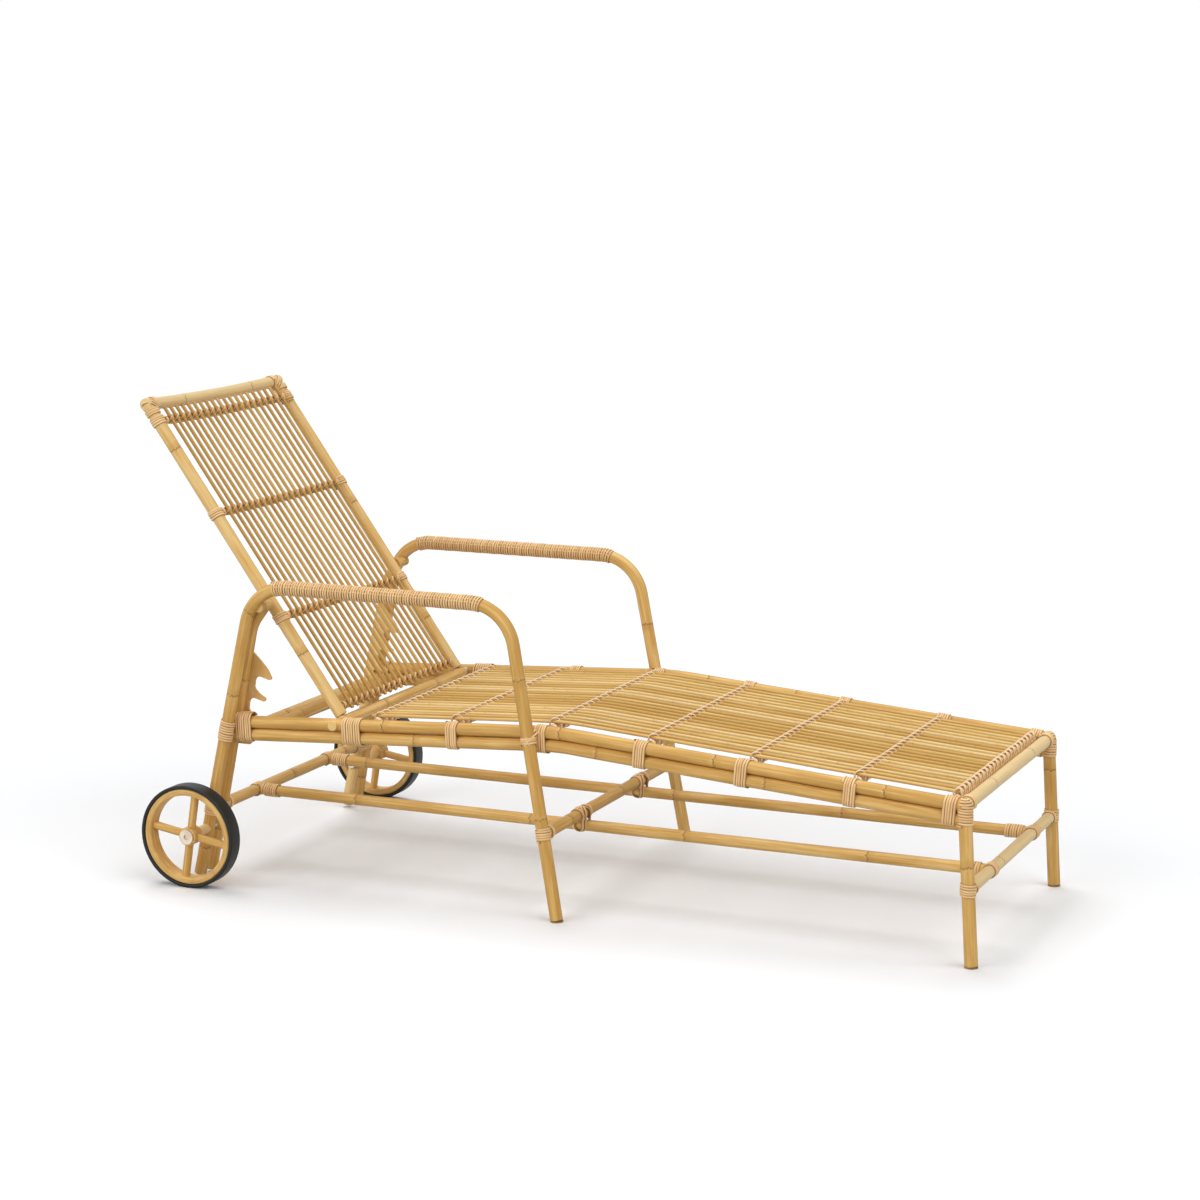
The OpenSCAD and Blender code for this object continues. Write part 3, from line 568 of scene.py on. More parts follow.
def strip(shapes, centres, outs, rng, path=None, width=PEEL_W, thick=PEEL_T):
    """A peel strip along centres, lying on the surface whose outward directions are outs.

    The peel's cross section is carried along: its width across the direction of the path, which is centres
    where none is given, and its thickness outwards.
    """
    tangents = unit(np.gradient(centres if path is None else path, axis=0))
    wide = unit(np.cross(tangents, outs))
    section = PEEL_SECTION * np.array((width, thick))
    grid = centres[:, None, :] + section[None, :, 0, None] * wide[:, None, :]
    grid = grid + section[None, :, 1, None] * outs[:, None, :]
    along = measured(centres) + rng.uniform(0, 30)
    u = np.append(PEEL_SECTION[:, 0] + 0.5, 0.0)
    shapes.grid(grid, u, along, np.full(len(along), NO_MARK), rng.uniform(0, 1))


def winding(shapes, axis, ref, outline, turns, rng, samples=32, pitch=PEEL_PITCH, start=0.0):
    """Turns of peel round the bar whose axis is a line; the outline is drawn across the axis.

    It is a helix round the outline with even steps along the axis. Two small sine waves shift it along the
    bar and lift it off, as hand work does.
    """
    axis = resample(axis, 0.004)
    _, side, up = frames(axis, ref)
    along = measured(axis)
    width = pitch * PEEL_SHARE
    count = int(samples * turns) + 1
    turn = np.linspace(0.0, turns, count) + start
    s = width / 2 + (along[-1] - width) * np.linspace(0.0, 1.0, count)
    shift, rate = TURN_SHIFT
    s = s + shift * np.sin(turn * rate + rng.uniform(0, 6))
    base, e1, e2 = (between(s, along, rows) for rows in (axis, side, up))
    flat, out = outline(turn)
    lift, rate = TURN_LIFT
    flat = flat + lift * (1 + np.sin(turn * rate + rng.uniform(0, 6)))[:, None] * out
    centres = base + flat[:, :1] * e1 + flat[:, 1:] * e2
    strip(shapes, centres, out[:, :1] * e1 + out[:, 1:] * e2, rng, width=width)


def straight(middle, direction, length):
    """A short axis line about a middle point."""
    half = unit(direction) * length / 2
    return np.array((middle - half, middle + half))


def ring_winding(shapes, middle, direction, radius, turns, rng, ref=UP):
    """Turns of peel round one bar."""
    axis = straight(middle, direction, turns * PEEL_PITCH + PEEL_SPARE)
    winding(shapes, axis, ref, hull_outline((0, 0, radius)), turns, rng, start=rng.uniform(0, 1))


def loops(shapes, centre, e1, e2, outline, lanes, rng, stretch=1.0):
    """Closed loops of peel in the plane of e1 and e2 at centre, side by side in lanes across the plane.

    stretch draws the outline out along e1, as a slanting cut through round bars does. A small sine wave sways
    each loop across its plane.
    """
    e1, e2 = unit(e1), unit(e2)
    across = np.cross(e1, e2)
    turn = np.linspace(0.0, 1.0, 57)
    for lane in lanes:
        flat, out = outline(turn)
        flat = flat * np.array((stretch, 1.0)) + LOOP_LIFT * out * rng.uniform(0.2, 1.0)
        out = unit(out / np.array((stretch, 1.0)))
        sway = LOOP_SWAY * np.sin(2 * math.pi * turn + rng.uniform(0, 6))
        centres = centre + flat[:, :1] * e1 + flat[:, 1:] * e2 + (lane + sway)[:, None] * across
        strip(shapes, centres, out[:, :1] * e1 + out[:, 1:] * e2, rng)


def dome(shapes, centre, radius, rng):
    """Level turns of peel over a round top, each smaller than the one below, as circles of latitude are."""
    turn = np.linspace(0.0, 2 * math.pi, 41)
    level = np.stack((np.cos(turn), np.sin(turn), 0 * turn), axis=1)
    for height in DOME_TURNS:
        out = math.cos(height) * level + math.sin(height) * UP
        strip(shapes, centre + radius * out, out, rng, path=level)


# Materials


class Graph:
    """Short names for adding nodes and links to one node tree."""

    def __init__(self, tree):
        self.tree = tree

    def node(self, kind, **settings):
        node = self.tree.nodes.new(kind)
        for key, value in settings.items():
            setattr(node, key, value)
        return node

    def put(self, socket, value):
        """Links value to the socket, or sets it as a constant."""
        if isinstance(value, bpy.types.NodeSocket):
            self.tree.links.new(value, socket)
        elif value is not None:
            socket.default_value = value

    def math(self, operation, a, b=None):
        node = self.node("ShaderNodeMath", operation=operation)
        for socket, value in zip(node.inputs, (a, b)):
            self.put(socket, value)
        return node.outputs[0]

    def times(self, a, b):
        return self.math("MULTIPLY", a, b)

    def plus(self, a, b):
        return self.math("ADD", a, b)

    def minus(self, a, b):
        return self.math("SUBTRACT", a, b)

    def balance(self, a, b, share):
        """share of a, and b for the rest."""
        return self.plus(self.times(a, share), self.times(b, 1 - share))

    def split(self, vector):
        node = self.node("ShaderNodeSeparateXYZ")
        self.put(node.inputs[0], vector)
        return node.outputs

    def uv(self, layer):
        return self.split(self.node("ShaderNodeUVMap", uv_map=layer).outputs[0])

    def place(self):
        return self.node("ShaderNodeTexCoord").outputs["Object"]

    def stretched(self, parts, scales, shift=None):
        """A vector of three values, each times its scale. shift is added to the second one."""
        x, y, z = (part if scale == 1 else self.times(part, scale) for part, scale in zip(parts, scales))
        y = y if shift is None else self.plus(y, shift)
        node = self.node("ShaderNodeCombineXYZ")
        for socket, value in zip(node.inputs, (x, y, z)):
            self.put(socket, value)
        return node.outputs[0]

    def noise(self, vector, scale, detail=3.0, rough=0.55, distortion=0.0):
        node = self.node("ShaderNodeTexNoise")
        names = ("Vector", "Scale", "Detail", "Roughness", "Distortion")
        for name, value in zip(names, (vector, scale, detail, rough, distortion)):
            self.put(node.inputs[name], value)
        return node.outputs["Fac"]

    def mix(self, factor, a, b):
        """a where factor is 0 and b where it is 1."""
        node = self.node("ShaderNodeMix", data_type="RGBA")
        self.put(node.inputs["Factor"], factor)
        self.put(node.inputs["A"], a if isinstance(a, bpy.types.NodeSocket) else (*a, 1.0))
        self.put(node.inputs["B"], b if isinstance(b, bpy.types.NodeSocket) else (*b, 1.0))
        return node.outputs["Result"]

    def smooth(self, value, low, high):
        """0 below low and 1 above high."""
        node = self.node("ShaderNodeMapRange", interpolation_type="SMOOTHSTEP")
        for name, setting in (("Value", value), ("From Min", low), ("From Max", high)):
            self.put(node.inputs[name], setting)
        return node.outputs["Result"]

    def near(self, value, inner, outer):
        """1 within inner of zero and 0 past outer."""
        return self.minus(1.0, self.smooth(self.math("ABSOLUTE", value), inner, outer))

    def bump(self, height, strength, distance):
        node = self.node("ShaderNodeBump")
        for name, value in (("Strength", strength), ("Distance", distance), ("Height", height)):
            self.put(node.inputs[name], value)
        return node.outputs["Normal"]


def new_material(name):
    """An empty material, its shader and a Graph to fill it."""
    material = bpy.data.materials.new(name)
    material.use_nodes = True
    tree = material.node_tree
    tree.nodes.clear()
    output = tree.nodes.new("ShaderNodeOutputMaterial")
    shader = tree.nodes.new("ShaderNodeBsdfPrincipled")
    tree.links.new(shader.outputs["BSDF"], output.inputs["Surface"])
    return material, shader, Graph(tree)


def coat(g, shader, colour, rough, height, strength, distance):
    """Sets a shader's colour, its roughness and its fine relief."""
    g.put(shader.inputs["Base Color"], colour)
    g.put(shader.inputs["Roughness"], rough)
    g.put(shader.inputs["Normal"], g.bump(height, strength, distance))


def group(name, inputs, outputs):
    """A node group with named inputs and outputs, and a Graph to fill it."""
    tree = bpy.data.node_groups.new(name, "ShaderNodeTree")
    kinds = {"value": "NodeSocketFloat", "colour": "NodeSocketColor", "vector": "NodeSocketVector"}
    for label, kind, default in inputs:
        socket = tree.interface.new_socket(label, in_out="INPUT", socket_type=kinds[kind])
        socket.default_value = default
    for label, kind in outputs:
        tree.interface.new_socket(label, in_out="OUTPUT", socket_type=kinds[kind])
    graph = Graph(tree)
    return graph, graph.node("NodeGroupInput").outputs, graph.node("NodeGroupOutput").inputs


def use_group(graph, name, **values):
    """Places a group in a material and sets its named inputs."""
    node = graph.node("ShaderNodeGroup", node_tree=bpy.data.node_groups[name])
    for key, value in values.items():
        graph.put(node.inputs[key], value)
    return node.outputs


def make_coordinates_group():
    """Group: where a point lies on a cane or strip, from the two UV layers.

    Vector is the cosine and the sine of the turn, with the length along, so that it has no break where the
    turn starts again.
    """
    g, _, out = group("Cane coordinates", (), (("Vector", "vector"), ("Along", "value"), ("Mark", "value"),
                                               ("Tag", "value"), ("Turn", "value")))
    along, mark = g.uv("along"), g.uv("mark")
    angle = g.times(along[0], 2 * math.pi)
    round_it = (g.math("COSINE", angle), g.math("SINE", angle), along[1])
    g.put(out["Vector"], g.stretched(round_it, (1, 1, 1)))
    g.put(out["Along"], along[1])
    g.put(out["Mark"], mark[0])
    g.put(out["Tag"], mark[1])
    g.put(out["Turn"], along[0])


CRACK = (0.25, 0.10, 0.025)


def make_cane_group():
    """Group: cane skin. Long fine streaks and slow blotches choose between three tones.

    At each node there is a jagged crack, with a pale collar on one side and a brown stain on the other.
    """
    inputs = (
        ("Light", "colour", (0.8, 0.6, 0.3, 1)), ("Mid", "colour", (0.7, 0.5, 0.2, 1)),
        ("Dark", "colour", (0.5, 0.3, 0.1, 1)), ("Rings", "value", 1.0), ("Spread", "value", 0.3),
    )
    outputs = (("Colour", "colour"), ("Height", "value"), ("Shine", "value"))
    g, given, out = group("Cane skin", inputs, outputs)
    place = use_group(g, "Cane coordinates")
    x, y, s = g.split(place["Vector"])
    tag = g.times(place["Tag"], 37.0)
    streak = g.noise(g.stretched((x, y, s), (3.2, 3.2, 5.0), tag), 1.0, 4.0, 0.6)
    hair = g.noise(g.stretched((x, y, s), (11.0, 11.0, 9.0), tag), 1.6, 3.0, 0.6)
    patch = g.noise(g.stretched((x, y, s), (1, 1, 9.0), tag), 0.9, 3.0, 0.5)
    own_tone = g.times(g.minus(place["Tag"], 0.5), given["Spread"])
    tone = g.plus(g.balance(streak, patch, 0.55), own_tone)
    base = g.mix(g.smooth(tone, 0.32, 0.60), given["Dark"], given["Mid"])
    base = g.mix(g.smooth(tone, 0.48, 0.72), base, given["Light"])
    base = g.mix(g.times(g.smooth(hair, 0.52, 0.75), 0.45), base, given["Dark"])

    wobble = g.noise(g.stretched((x, y, tag), (2.1, 2.1, 1)), 1.7, 3.0, 0.75)
    dist = g.plus(place["Mark"], g.times(g.minus(wobble, 0.5), 0.026))
    broken = g.smooth(g.noise(g.stretched((x, y, tag), (1.6, 1, 1)), 2.3, 2.0), 0.34, 0.52)
    crack = g.times(g.near(dist, 0.0005, 0.0019), given["Rings"])
    crack = g.times(crack, g.plus(0.35, g.times(broken, 0.65)))
    collar = g.times(g.near(g.plus(dist, 0.004), 0.001, 0.005), g.times(given["Rings"], 0.22))
    stain = g.times(g.near(g.minus(dist, 0.006), 0.002, 0.016), g.times(given["Rings"], 0.5))
    base = g.mix(collar, base, given["Light"])
    base = g.mix(stain, base, given["Dark"])
    g.put(out["Colour"], g.mix(crack, base, CRACK))
    g.put(out["Height"], g.minus(g.times(hair, 0.35), g.times(crack, 0.5)))
    g.put(out["Shine"], g.plus(0.36, g.times(streak, 0.22)))


def make_wood_group():
    """Group: wood. The grain and the blotches choose between two tones, and the grain dulls the shine."""
    inputs = (
        ("Light", "colour", (0.8, 0.6, 0.3, 1)), ("Dark", "colour", (0.5, 0.3, 0.1, 1)),
        ("Grain", "value", 0.5), ("Blotch", "value", 0.5),
        ("Shine", "value", 0.38), ("Dulling", "value", 0.2),
    )
    g, given, out = group("Wood", inputs, (("Colour", "colour"), ("Shine", "value")))
    tone = g.balance(given["Grain"], given["Blotch"], 0.6)
    g.put(out["Colour"], g.mix(g.smooth(tone, 0.36, 0.64), given["Dark"], given["Light"]))
    g.put(out["Shine"], g.plus(given["Shine"], g.times(given["Grain"], given["Dulling"])))


def cane_material(name, light, mid, dark, spread=0.16, rings=1.0, rim_shade=0.55, rim_shade_depth=0.62):
    """Lacquered cane: the cane skin, with painted shade that darkens it where the surface turns away from the
    eye.
    """
    material, shader, g = new_material(name)
    skin = use_group(g, "Cane skin", Light=(*light, 1), Mid=(*mid, 1), Dark=(*dark, 1), Spread=spread,
                     Rings=rings)
    # Painted shade: the sides that turn away from the eye are darkened towards a deep share of the dark tone.
    away = g.node("ShaderNodeLayerWeight").outputs["Facing"]
    rim_shade_mask = g.times(g.smooth(away, 0.35, 0.95), rim_shade)
    colour = g.mix(rim_shade_mask, skin["Colour"], tuple(rim_shade_depth * c for c in dark))
    coat(g, shader, colour, skin["Shine"], skin["Height"], 0.25, 0.0006)
    shader.inputs["Specular IOR Level"].default_value = 0.25
    return material


def peel_material(name, light, dark, edge_shade=0.8):
    """Split cane peel: pale, with fine lines along the strip, and painted shade darkening its edges where one
    turn meets the next.
    """
    material, shader, g = new_material(name)
    place = use_group(g, "Cane coordinates")
    parts = (place["Turn"], place["Along"], g.times(place["Tag"], 23.0))
    lines = g.noise(g.stretched(parts, (9.0, 14.0, 1)), 1.0, 4.0, 0.6)
    patch = g.noise(g.stretched(parts, (1, 22.0, 1)), 1.0, 2.0, 0.5)
    colour = g.mix(g.smooth(g.balance(lines, patch, 0.55), 0.34, 0.66), dark, light)
    # Painted shade: the strip darkens towards its edges, where it meets the next turn.
    edge = g.smooth(g.math("ABSOLUTE", g.minus(place["Turn"], 0.5)), 0.24, 0.5)
    colour = g.mix(g.times(edge, edge_shade), colour, tuple(0.30 * c for c in dark))
    coat(g, shader, colour, 0.5, lines, 0.35, 0.0004)
    return material


def board_material(name, light, dark):
    """Flat stained board: long grain in Object coordinates."""
    material, shader, g = new_material(name)
    place = g.split(g.place())
    grain = g.noise(g.stretched(place, (95.0, 40.0, 14.0)), 1.0, 4.0, 0.6, 0.4)
    blotch = g.noise(g.stretched(place, (9.0, 1, 9.0)), 1.0, 2.0)
    wood = use_group(g, "Wood", Light=(*light, 1), Dark=(*dark, 1), Grain=grain, Blotch=blotch)
    coat(g, shader, wood["Colour"], wood["Shine"], grain, 0.2, 0.0004)
    return material


def ring_material(name, light, dark):
    """Bent wood ring: grain runs round the axle, by the radius and the place across in Object coordinates."""
    material, shader, g = new_material(name)
    place = g.split(g.place())
    x = g.minus(place[0], float(AXLE[0]))
    z = g.minus(place[2], float(AXLE[2]))
    radius = g.math("SQRT", g.plus(g.times(x, x), g.times(z, z)))
    round_x = g.math("DIVIDE", x, radius)
    round_z = g.math("DIVIDE", z, radius)
    lane = g.plus(g.times(radius, 330.0), g.times(place[1], 260.0))
    grain = g.noise(g.stretched((lane, round_x, round_z), (1, 2.4, 2.4)), 1.0, 4.0, 0.6)
    blotch = g.noise(g.stretched((round_x, round_z, place[1]), (1, 1, 20.0)), 2.2, 2.0)
    wood = use_group(g, "Wood", Light=(*light, 1), Dark=(*dark, 1), Grain=grain, Blotch=blotch,
                     Shine=0.36, Dulling=0.22)
    coat(g, shader, wood["Colour"], wood["Shine"], grain, 0.22, 0.0005)
    return material


def rubber_material(name, black, dusty):
    """Black tyre rubber with a faint dusty bloom and fine mould grain."""
    material, shader, g = new_material(name)
    dust = g.noise(g.place(), 38.0, 4.0, 0.6)
    grain = g.noise(g.place(), 1400.0, 2.0)
    colour = g.mix(g.smooth(dust, 0.45, 0.75), black, dusty)
    coat(g, shader, colour, g.plus(0.34, g.times(dust, 0.25)), grain, 0.15, 0.0002)
    shader.inputs["Specular IOR Level"].default_value = 0.3
    return material


def metal_material(name, colour, rough):
    """Plain metal with faint fine scratches and a little dulling."""
    material, shader, g = new_material(name)
    scratch = g.noise(g.place(), 900.0, 3.0, 0.7)
    cloud = g.noise(g.place(), 60.0, 2.0)
    colour = g.mix(g.smooth(cloud, 0.4, 0.7), colour, tuple(0.82 * c for c in colour))
    coat(g, shader, colour, g.plus(rough, g.times(scratch, 0.18)), scratch, 0.08, 0.0002)
    shader.inputs["Metallic"].default_value = 0.85
    return material


MATERIALS = {}
LASH_PALE = (1.0, 0.86, 0.66)


def leaning(colours, towards, share):
    """The same colours, each with a share of another one in it."""
    return [tuple((1 - share) * c + share * t for c, t in zip(colour, towards)) for colour in colours]


def make_materials():
    """All the materials, made once from the settings."""
    if MATERIALS:
        return MATERIALS
    look = bpy.context.scene.lounger_look
    light, mid, dark = tuple(look.cane_light), tuple(look.cane_mid), tuple(look.cane_dark)
    slat_mid, slat_dark = tuple(look.slat_mid), tuple(look.slat_dark)
    peels = tuple(look.peel_light), tuple(look.peel_dark)
    # The pale cane is partly the cross bars' own paler tone and partly a painted sheen: a lighter copy of the
    # cane for the bars that face the light.
    pale = leaning((light, mid, dark), look.cane_pale_and_sheen, 0.55)
    make_coordinates_group()
    make_cane_group()
    make_wood_group()
    # Each cane material paints shade on the sides that turn away from the eye; the slats get the most of it,
    # as shade between them.
    MATERIALS["cane"] = cane_material("Cane", light, mid, dark)
    MATERIALS["pale"] = cane_material("Pale cane", *pale, rim_shade=0.3)
    MATERIALS["slat"] = cane_material("Slat cane", light, slat_mid, slat_dark, spread=0.4, rings=0.3,
                                      rim_shade=0.95, rim_shade_depth=0.42)
    MATERIALS["back slat"] = cane_material("Back slat cane", slat_mid, slat_dark, dark, spread=0.2, rings=0.3,
                                           rim_shade=1.0, rim_shade_depth=0.45)
    MATERIALS["peel"] = peel_material("Peel", *peels)
    # The lash peel is paler, with less painted shade at its edges.
    MATERIALS["lash"] = peel_material("Lash peel", *leaning(peels, LASH_PALE, 0.3), edge_shade=0.4)
    MATERIALS["board"] = board_material("Board", light, mid)
    MATERIALS["ring"] = ring_material("Ring wood", mid, dark)
    MATERIALS["rubber"] = rubber_material("Tyre rubber", (0.004, 0.005, 0.004), (0.013, 0.014, 0.012))
    MATERIALS["pad"] = board_material("Foot pad", (0.36, 0.21, 0.09), (0.20, 0.11, 0.05))
    MATERIALS["steel"] = metal_material("Steel", (0.62, 0.60, 0.56), 0.3)
    MATERIALS["cap"] = metal_material("Cap metal", (0.66, 0.56, 0.44), 0.42)
    return MATERIALS


# Canes, rods and slats


def build_rails():
    """Upper and lower seat rails, the foot crossbar and the front legs."""
    rows = (("upper", 0.0, -CORNER_BACK), ("lower", -RAIL_STEP, front_x(CORNER_Z - RAIL_STEP)))
    top = CORNER_Z - LEG_TOP_DROP
    for side, sign in SIDES:
        for row, off, foot_x in rows:
            rng = chance(row, side)
            marks = [x - RAIL_REAR_X for x in RAIL_MARKS[row]]
            if side == "left":
                marks = [mark + rng.uniform(-LEFT_MARKS_STRAY, LEFT_MARKS_STRAY) for mark in marks]
            line = rail_line(off, RAIL_REAR_X, foot_x, sign * RAIL_Y)
            node = f"{side}_{row}_rail"
            one_cane(f"{node}_cane", node, line, TUBE_R, rng, marks, ends=(True, False))
        line = np.array((at(0.0, sign * RAIL_Y, PAD_H), at(front_x(top), sign * RAIL_Y, top)))
        node = f"{side}_front_leg"
        one_cane(f"{node}_cane", node, line, TUBE_R, chance("leg", side), LEG_MARKS[side])
    far = RAIL_Y + TUBE_R - TOUCH
    line = np.array((at(-CORNER_BACK, -far, CORNER_Z), at(-CORNER_BACK, far, CORNER_Z)))
    # The foot crossbar is in pale cane: its own paler tone with a painted sheen.
    one_cane("foot_crossbar_cane", "foot_crossbar", line, TUBE_R, chance("foot bar"), FOOT_BAR_MARKS, "pale",
             ref=UP, edge=TUBE_R * 0.98)


def build_arms():
    """Arm frames, the inner struts and their stubs."""
    for side, sign in SIDES:
        rng = chance("arm", side)
        stub = f"{side}_strut_stub"
        outwards = box_line(stub, 1)[::int(sign)]
        one_cane(f"{side}_arm_cane", f"{side}_arm_frame", arm_line(sign), TUBE_R, rng, ARM_MARKS, step=0.007)
        one_cane(f"{side}_strut_cane", f"{side}_rear_strut", strut_line(sign), TUBE_R, rng, STRUT_MARKS)
        one_cane(f"{side}_stub_cane", stub, outwards, STUB_R, rng, STUB_MARKS, ref=UP)


def build_stretchers():
    """The rear cross rail, the three cross stretchers and the two long ones."""
    for node, marks in CROSS_MARKS.items():
        rng = np.random.default_rng(sum(map(ord, node)))
        # The front stretcher is in pale cane: its own paler tone with a painted sheen.
        material = "pale" if node == "front_stretcher" else "cane"
        one_cane(f"{node}_cane", node, box_line(node, 1), CROSS_R, rng, marks, material, ref=UP)
    for side, _ in SIDES:
        node = f"{side}_long_stretcher"
        line = box_line(node, 0)
        marks = [x + FRONT - line[0][0] for x in LONG_MARKS[side]]
        one_cane(f"{node}_cane", node, line, LONG_R, chance("long", side), marks)


def slat_marks(rng, latest, step, length):
    """Node marks along a slat: uneven steps from a first mark, which lies at latest at the given place."""
    places = []
    s = rng.uniform(0.05, latest)
    while s < length:
        places.append(s)
        s += step * rng.uniform(0.85, 1.15)
    return places


def build_seat(mark_step):
    """Seat rods and the long thin slats of the seat."""
    rng = chance("seat")
    shapes = Shapes()
    for x in ROD_X:
        z = rail_z(x, ROD_RISE)
        line = np.array((at(x, -RAIL_Y + TUBE_R, z), at(x, RAIL_Y - TUBE_R, z)))
        cane(shapes, line, ROD_R, rng, ROD_MARKS, ref=UP, sides=12, step=0.02)
    shapes.build("seat_rod_canes", ["seat_rods"], "slat")
    shapes = Shapes()
    for y in spaced(SEAT_SLATS, SEAT_PITCH):
        marks = slat_marks(rng, 0.3, mark_step, 1.34)
        cane(shapes, rail_line(SLAT_RISE, *SLAT_ENDS, y), SLAT_R, rng, marks, sides=12, step=0.012)
    shapes.build("seat_slat_canes", ["seat_slats"], "slat")


def build_back(mark_step):
    """Stiles, top and bottom rails, rods and slats of the backrest."""
    rng = chance("back")
    for side, sign in SIDES:
        line = np.array((back_point(STILE_FOOT_U, sign * STILE_Y), back_point(BACK_LEN, sign * STILE_Y)))
        one_cane(f"{side}_stile_cane", f"{side}_back_stile", line, TUBE_R, rng, STILE_MARKS[side],
                 body="backrest", ends=(True, False))
    line = bowed_line(BACK_LEN, 0, TOP_BOW, STILE_Y + TOP_PAST_STILE)
    # The top rail is in pale cane: its own paler tone with a painted sheen.
    one_cane("back_top_cane", "back_top_rail", line, TUBE_R, rng, BACK_TOP_MARKS, "pale", "backrest",
             ref=BACK_UP)
    line = box_line("back_bottom_rail", 1)
    line[:, 0], line[:, 2] = HINGE[0], HINGE[2]
    one_cane("back_bottom_cane", "back_bottom_rail", line, TUBE_R, rng, BACK_BOTTOM_MARKS, "cane", "backrest",
             ref=UP)
    shapes = Shapes()
    for u in BACK_ROD_U:
        line = bowed_line(u, ROD_RISE, rod_bow(u), STILE_Y - TUBE_R)
        cane(shapes, line, ROD_R, rng, ROD_MARKS, ref=BACK_UP, sides=12, step=0.02)
    shapes.build("back_rod_canes", ["back_rods"], "back slat", "backrest")
    shapes = Shapes()
    for y in spaced(BACK_SLATS, BACK_PITCH):
        line = np.array([bowed(u, y, SLAT_RISE, rod_bow(u)) for u in BACK_SLAT_U])
        marks = slat_marks(rng, 0.25, mark_step, 0.8)
        cane(shapes, line, SLAT_R, rng, marks, sides=12, step=0.012)
    shapes.build("back_slat_canes", ["back_slats"], "back slat", "backrest")


def build_support_bar():
    """The loose bar that lies in the lowest notches."""
    one_cane("support_bar_cane", "support_bar", box_line("support_bar", 1), BAR_R, chance("bar"),
             SUPPORT_BAR_MARKS, body="support_bar", ref=UP)


# Lashings

ROD_TURN_R = ROD_R + 0.0022  # where a lashing passes under the rod
LASH_LEAN = 0.0085  # how far a lashing slants across its slat
LASH_PAIR = 0.0024  # half the distance of two crossed lashings
LASH_GAP = 0.0016  # from a slat's centre to the turns beside it
SEAT_LASH = {"proud": 0.0022, "width": 0.0070, "thick": 0.0030}  # stouter than on the back
ROD_TIE_AT = TUBE_R + 0.009  # from a stile's centre line to the turns on a rod
TOP_TURNS_DOWN = 0.021  # from the top rail's centre line to the turns on a stile
TOP_TURNS_IN = 0.022  # from a stile's centre line to the turns on the top rail
TOP_TURNS_BOW = 0.0016  # about how far the top rail lies backwards there
TOP_LOOPS_IN = 0.006  # from where the centre lines meet to the middle of the slanting loops, both ways
TOP_LOOPS_STRETCH = 1.36


def lash_row(shapes, rod, slat_ys, cross, out, rng, double=False, proud=0.0004, width=0.0056, thick=0.0021):
    """One rod's lashing: a slanting strip round the rod and each slat, and turns round the rod in between.

    rod gives the rod's centre at a Y, cross is the direction along the slats, and out points from rod to
    slat. Each strip follows a circle round the slat where that stands out furthest, and round the rod
    elsewhere.
    """
    rise = SLAT_RISE - ROD_RISE
    angle = 2 * math.pi * np.linspace(0.0, 1.0, 33)
    flat = np.stack((np.cos(angle), np.sin(angle)), axis=1)
    far = flat[:, 0] * rise + SLAT_R + proud > ROD_TURN_R
    reach = np.where(far, SLAT_R + proud, ROD_TURN_R)
    point = np.stack((np.where(far, rise, 0.0) + reach * flat[:, 0], reach * flat[:, 1]), axis=1)
    outs = flat[:, :1] * out + flat[:, 1:] * cross
    for y in slat_ys:
        for swing, lane in ((1.0, -LASH_PAIR), (-1.0, LASH_PAIR)) if double else ((1.0, 0.0),):
            sideways = swing * LASH_LEAN * flat[:, 1] + lane
            centres = rod(y) + point[:, :1] * out + point[:, 1:] * cross + sideways[:, None] * ACROSS
            strip(shapes, centres, outs, rng, width=width, thick=thick)
    past = SEAT_PITCH * 0.75
    edges = np.concatenate(([slat_ys[0] - past], slat_ys, [slat_ys[-1] + past]))
    for a, b in zip(edges[:-1] + LASH_GAP, edges[1:] - LASH_GAP):
        axis = np.array([rod(y) for y in np.linspace(a, b, 8)])
        turns = max(1, round((b - a) / LASH_PITCH))
        winding(shapes, axis, cross, hull_outline((0, 0, ROD_R + 0.0001)), turns, rng, samples=14,
                pitch=LASH_PITCH, start=rng.uniform(0, 1))


def build_seat_lashings():
    """The zigzag peel lashing that ties every seat slat to its rod, doubled at the foot end."""
    rng = chance("seat lashings")
    ys = spaced(SEAT_SLATS, SEAT_PITCH)
    for k, x in enumerate(ROD_X):
        shapes = Shapes()
        slope = (rail_z(x + 0.01) - rail_z(x - 0.01)) / 0.02
        cross = unit(np.array((1.0, 0.0, slope)))
        out = np.array((-cross[2], 0.0, cross[0]))
        centre = at(x, 0.0, rail_z(x, ROD_RISE))
        lash_row(shapes, lambda y: centre + y * ACROSS, ys, cross, out, rng, double=(k == 0), **SEAT_LASH)
        shapes.build(f"seat_lashing_{k + 1}", ["seat_lashings"], "lash")


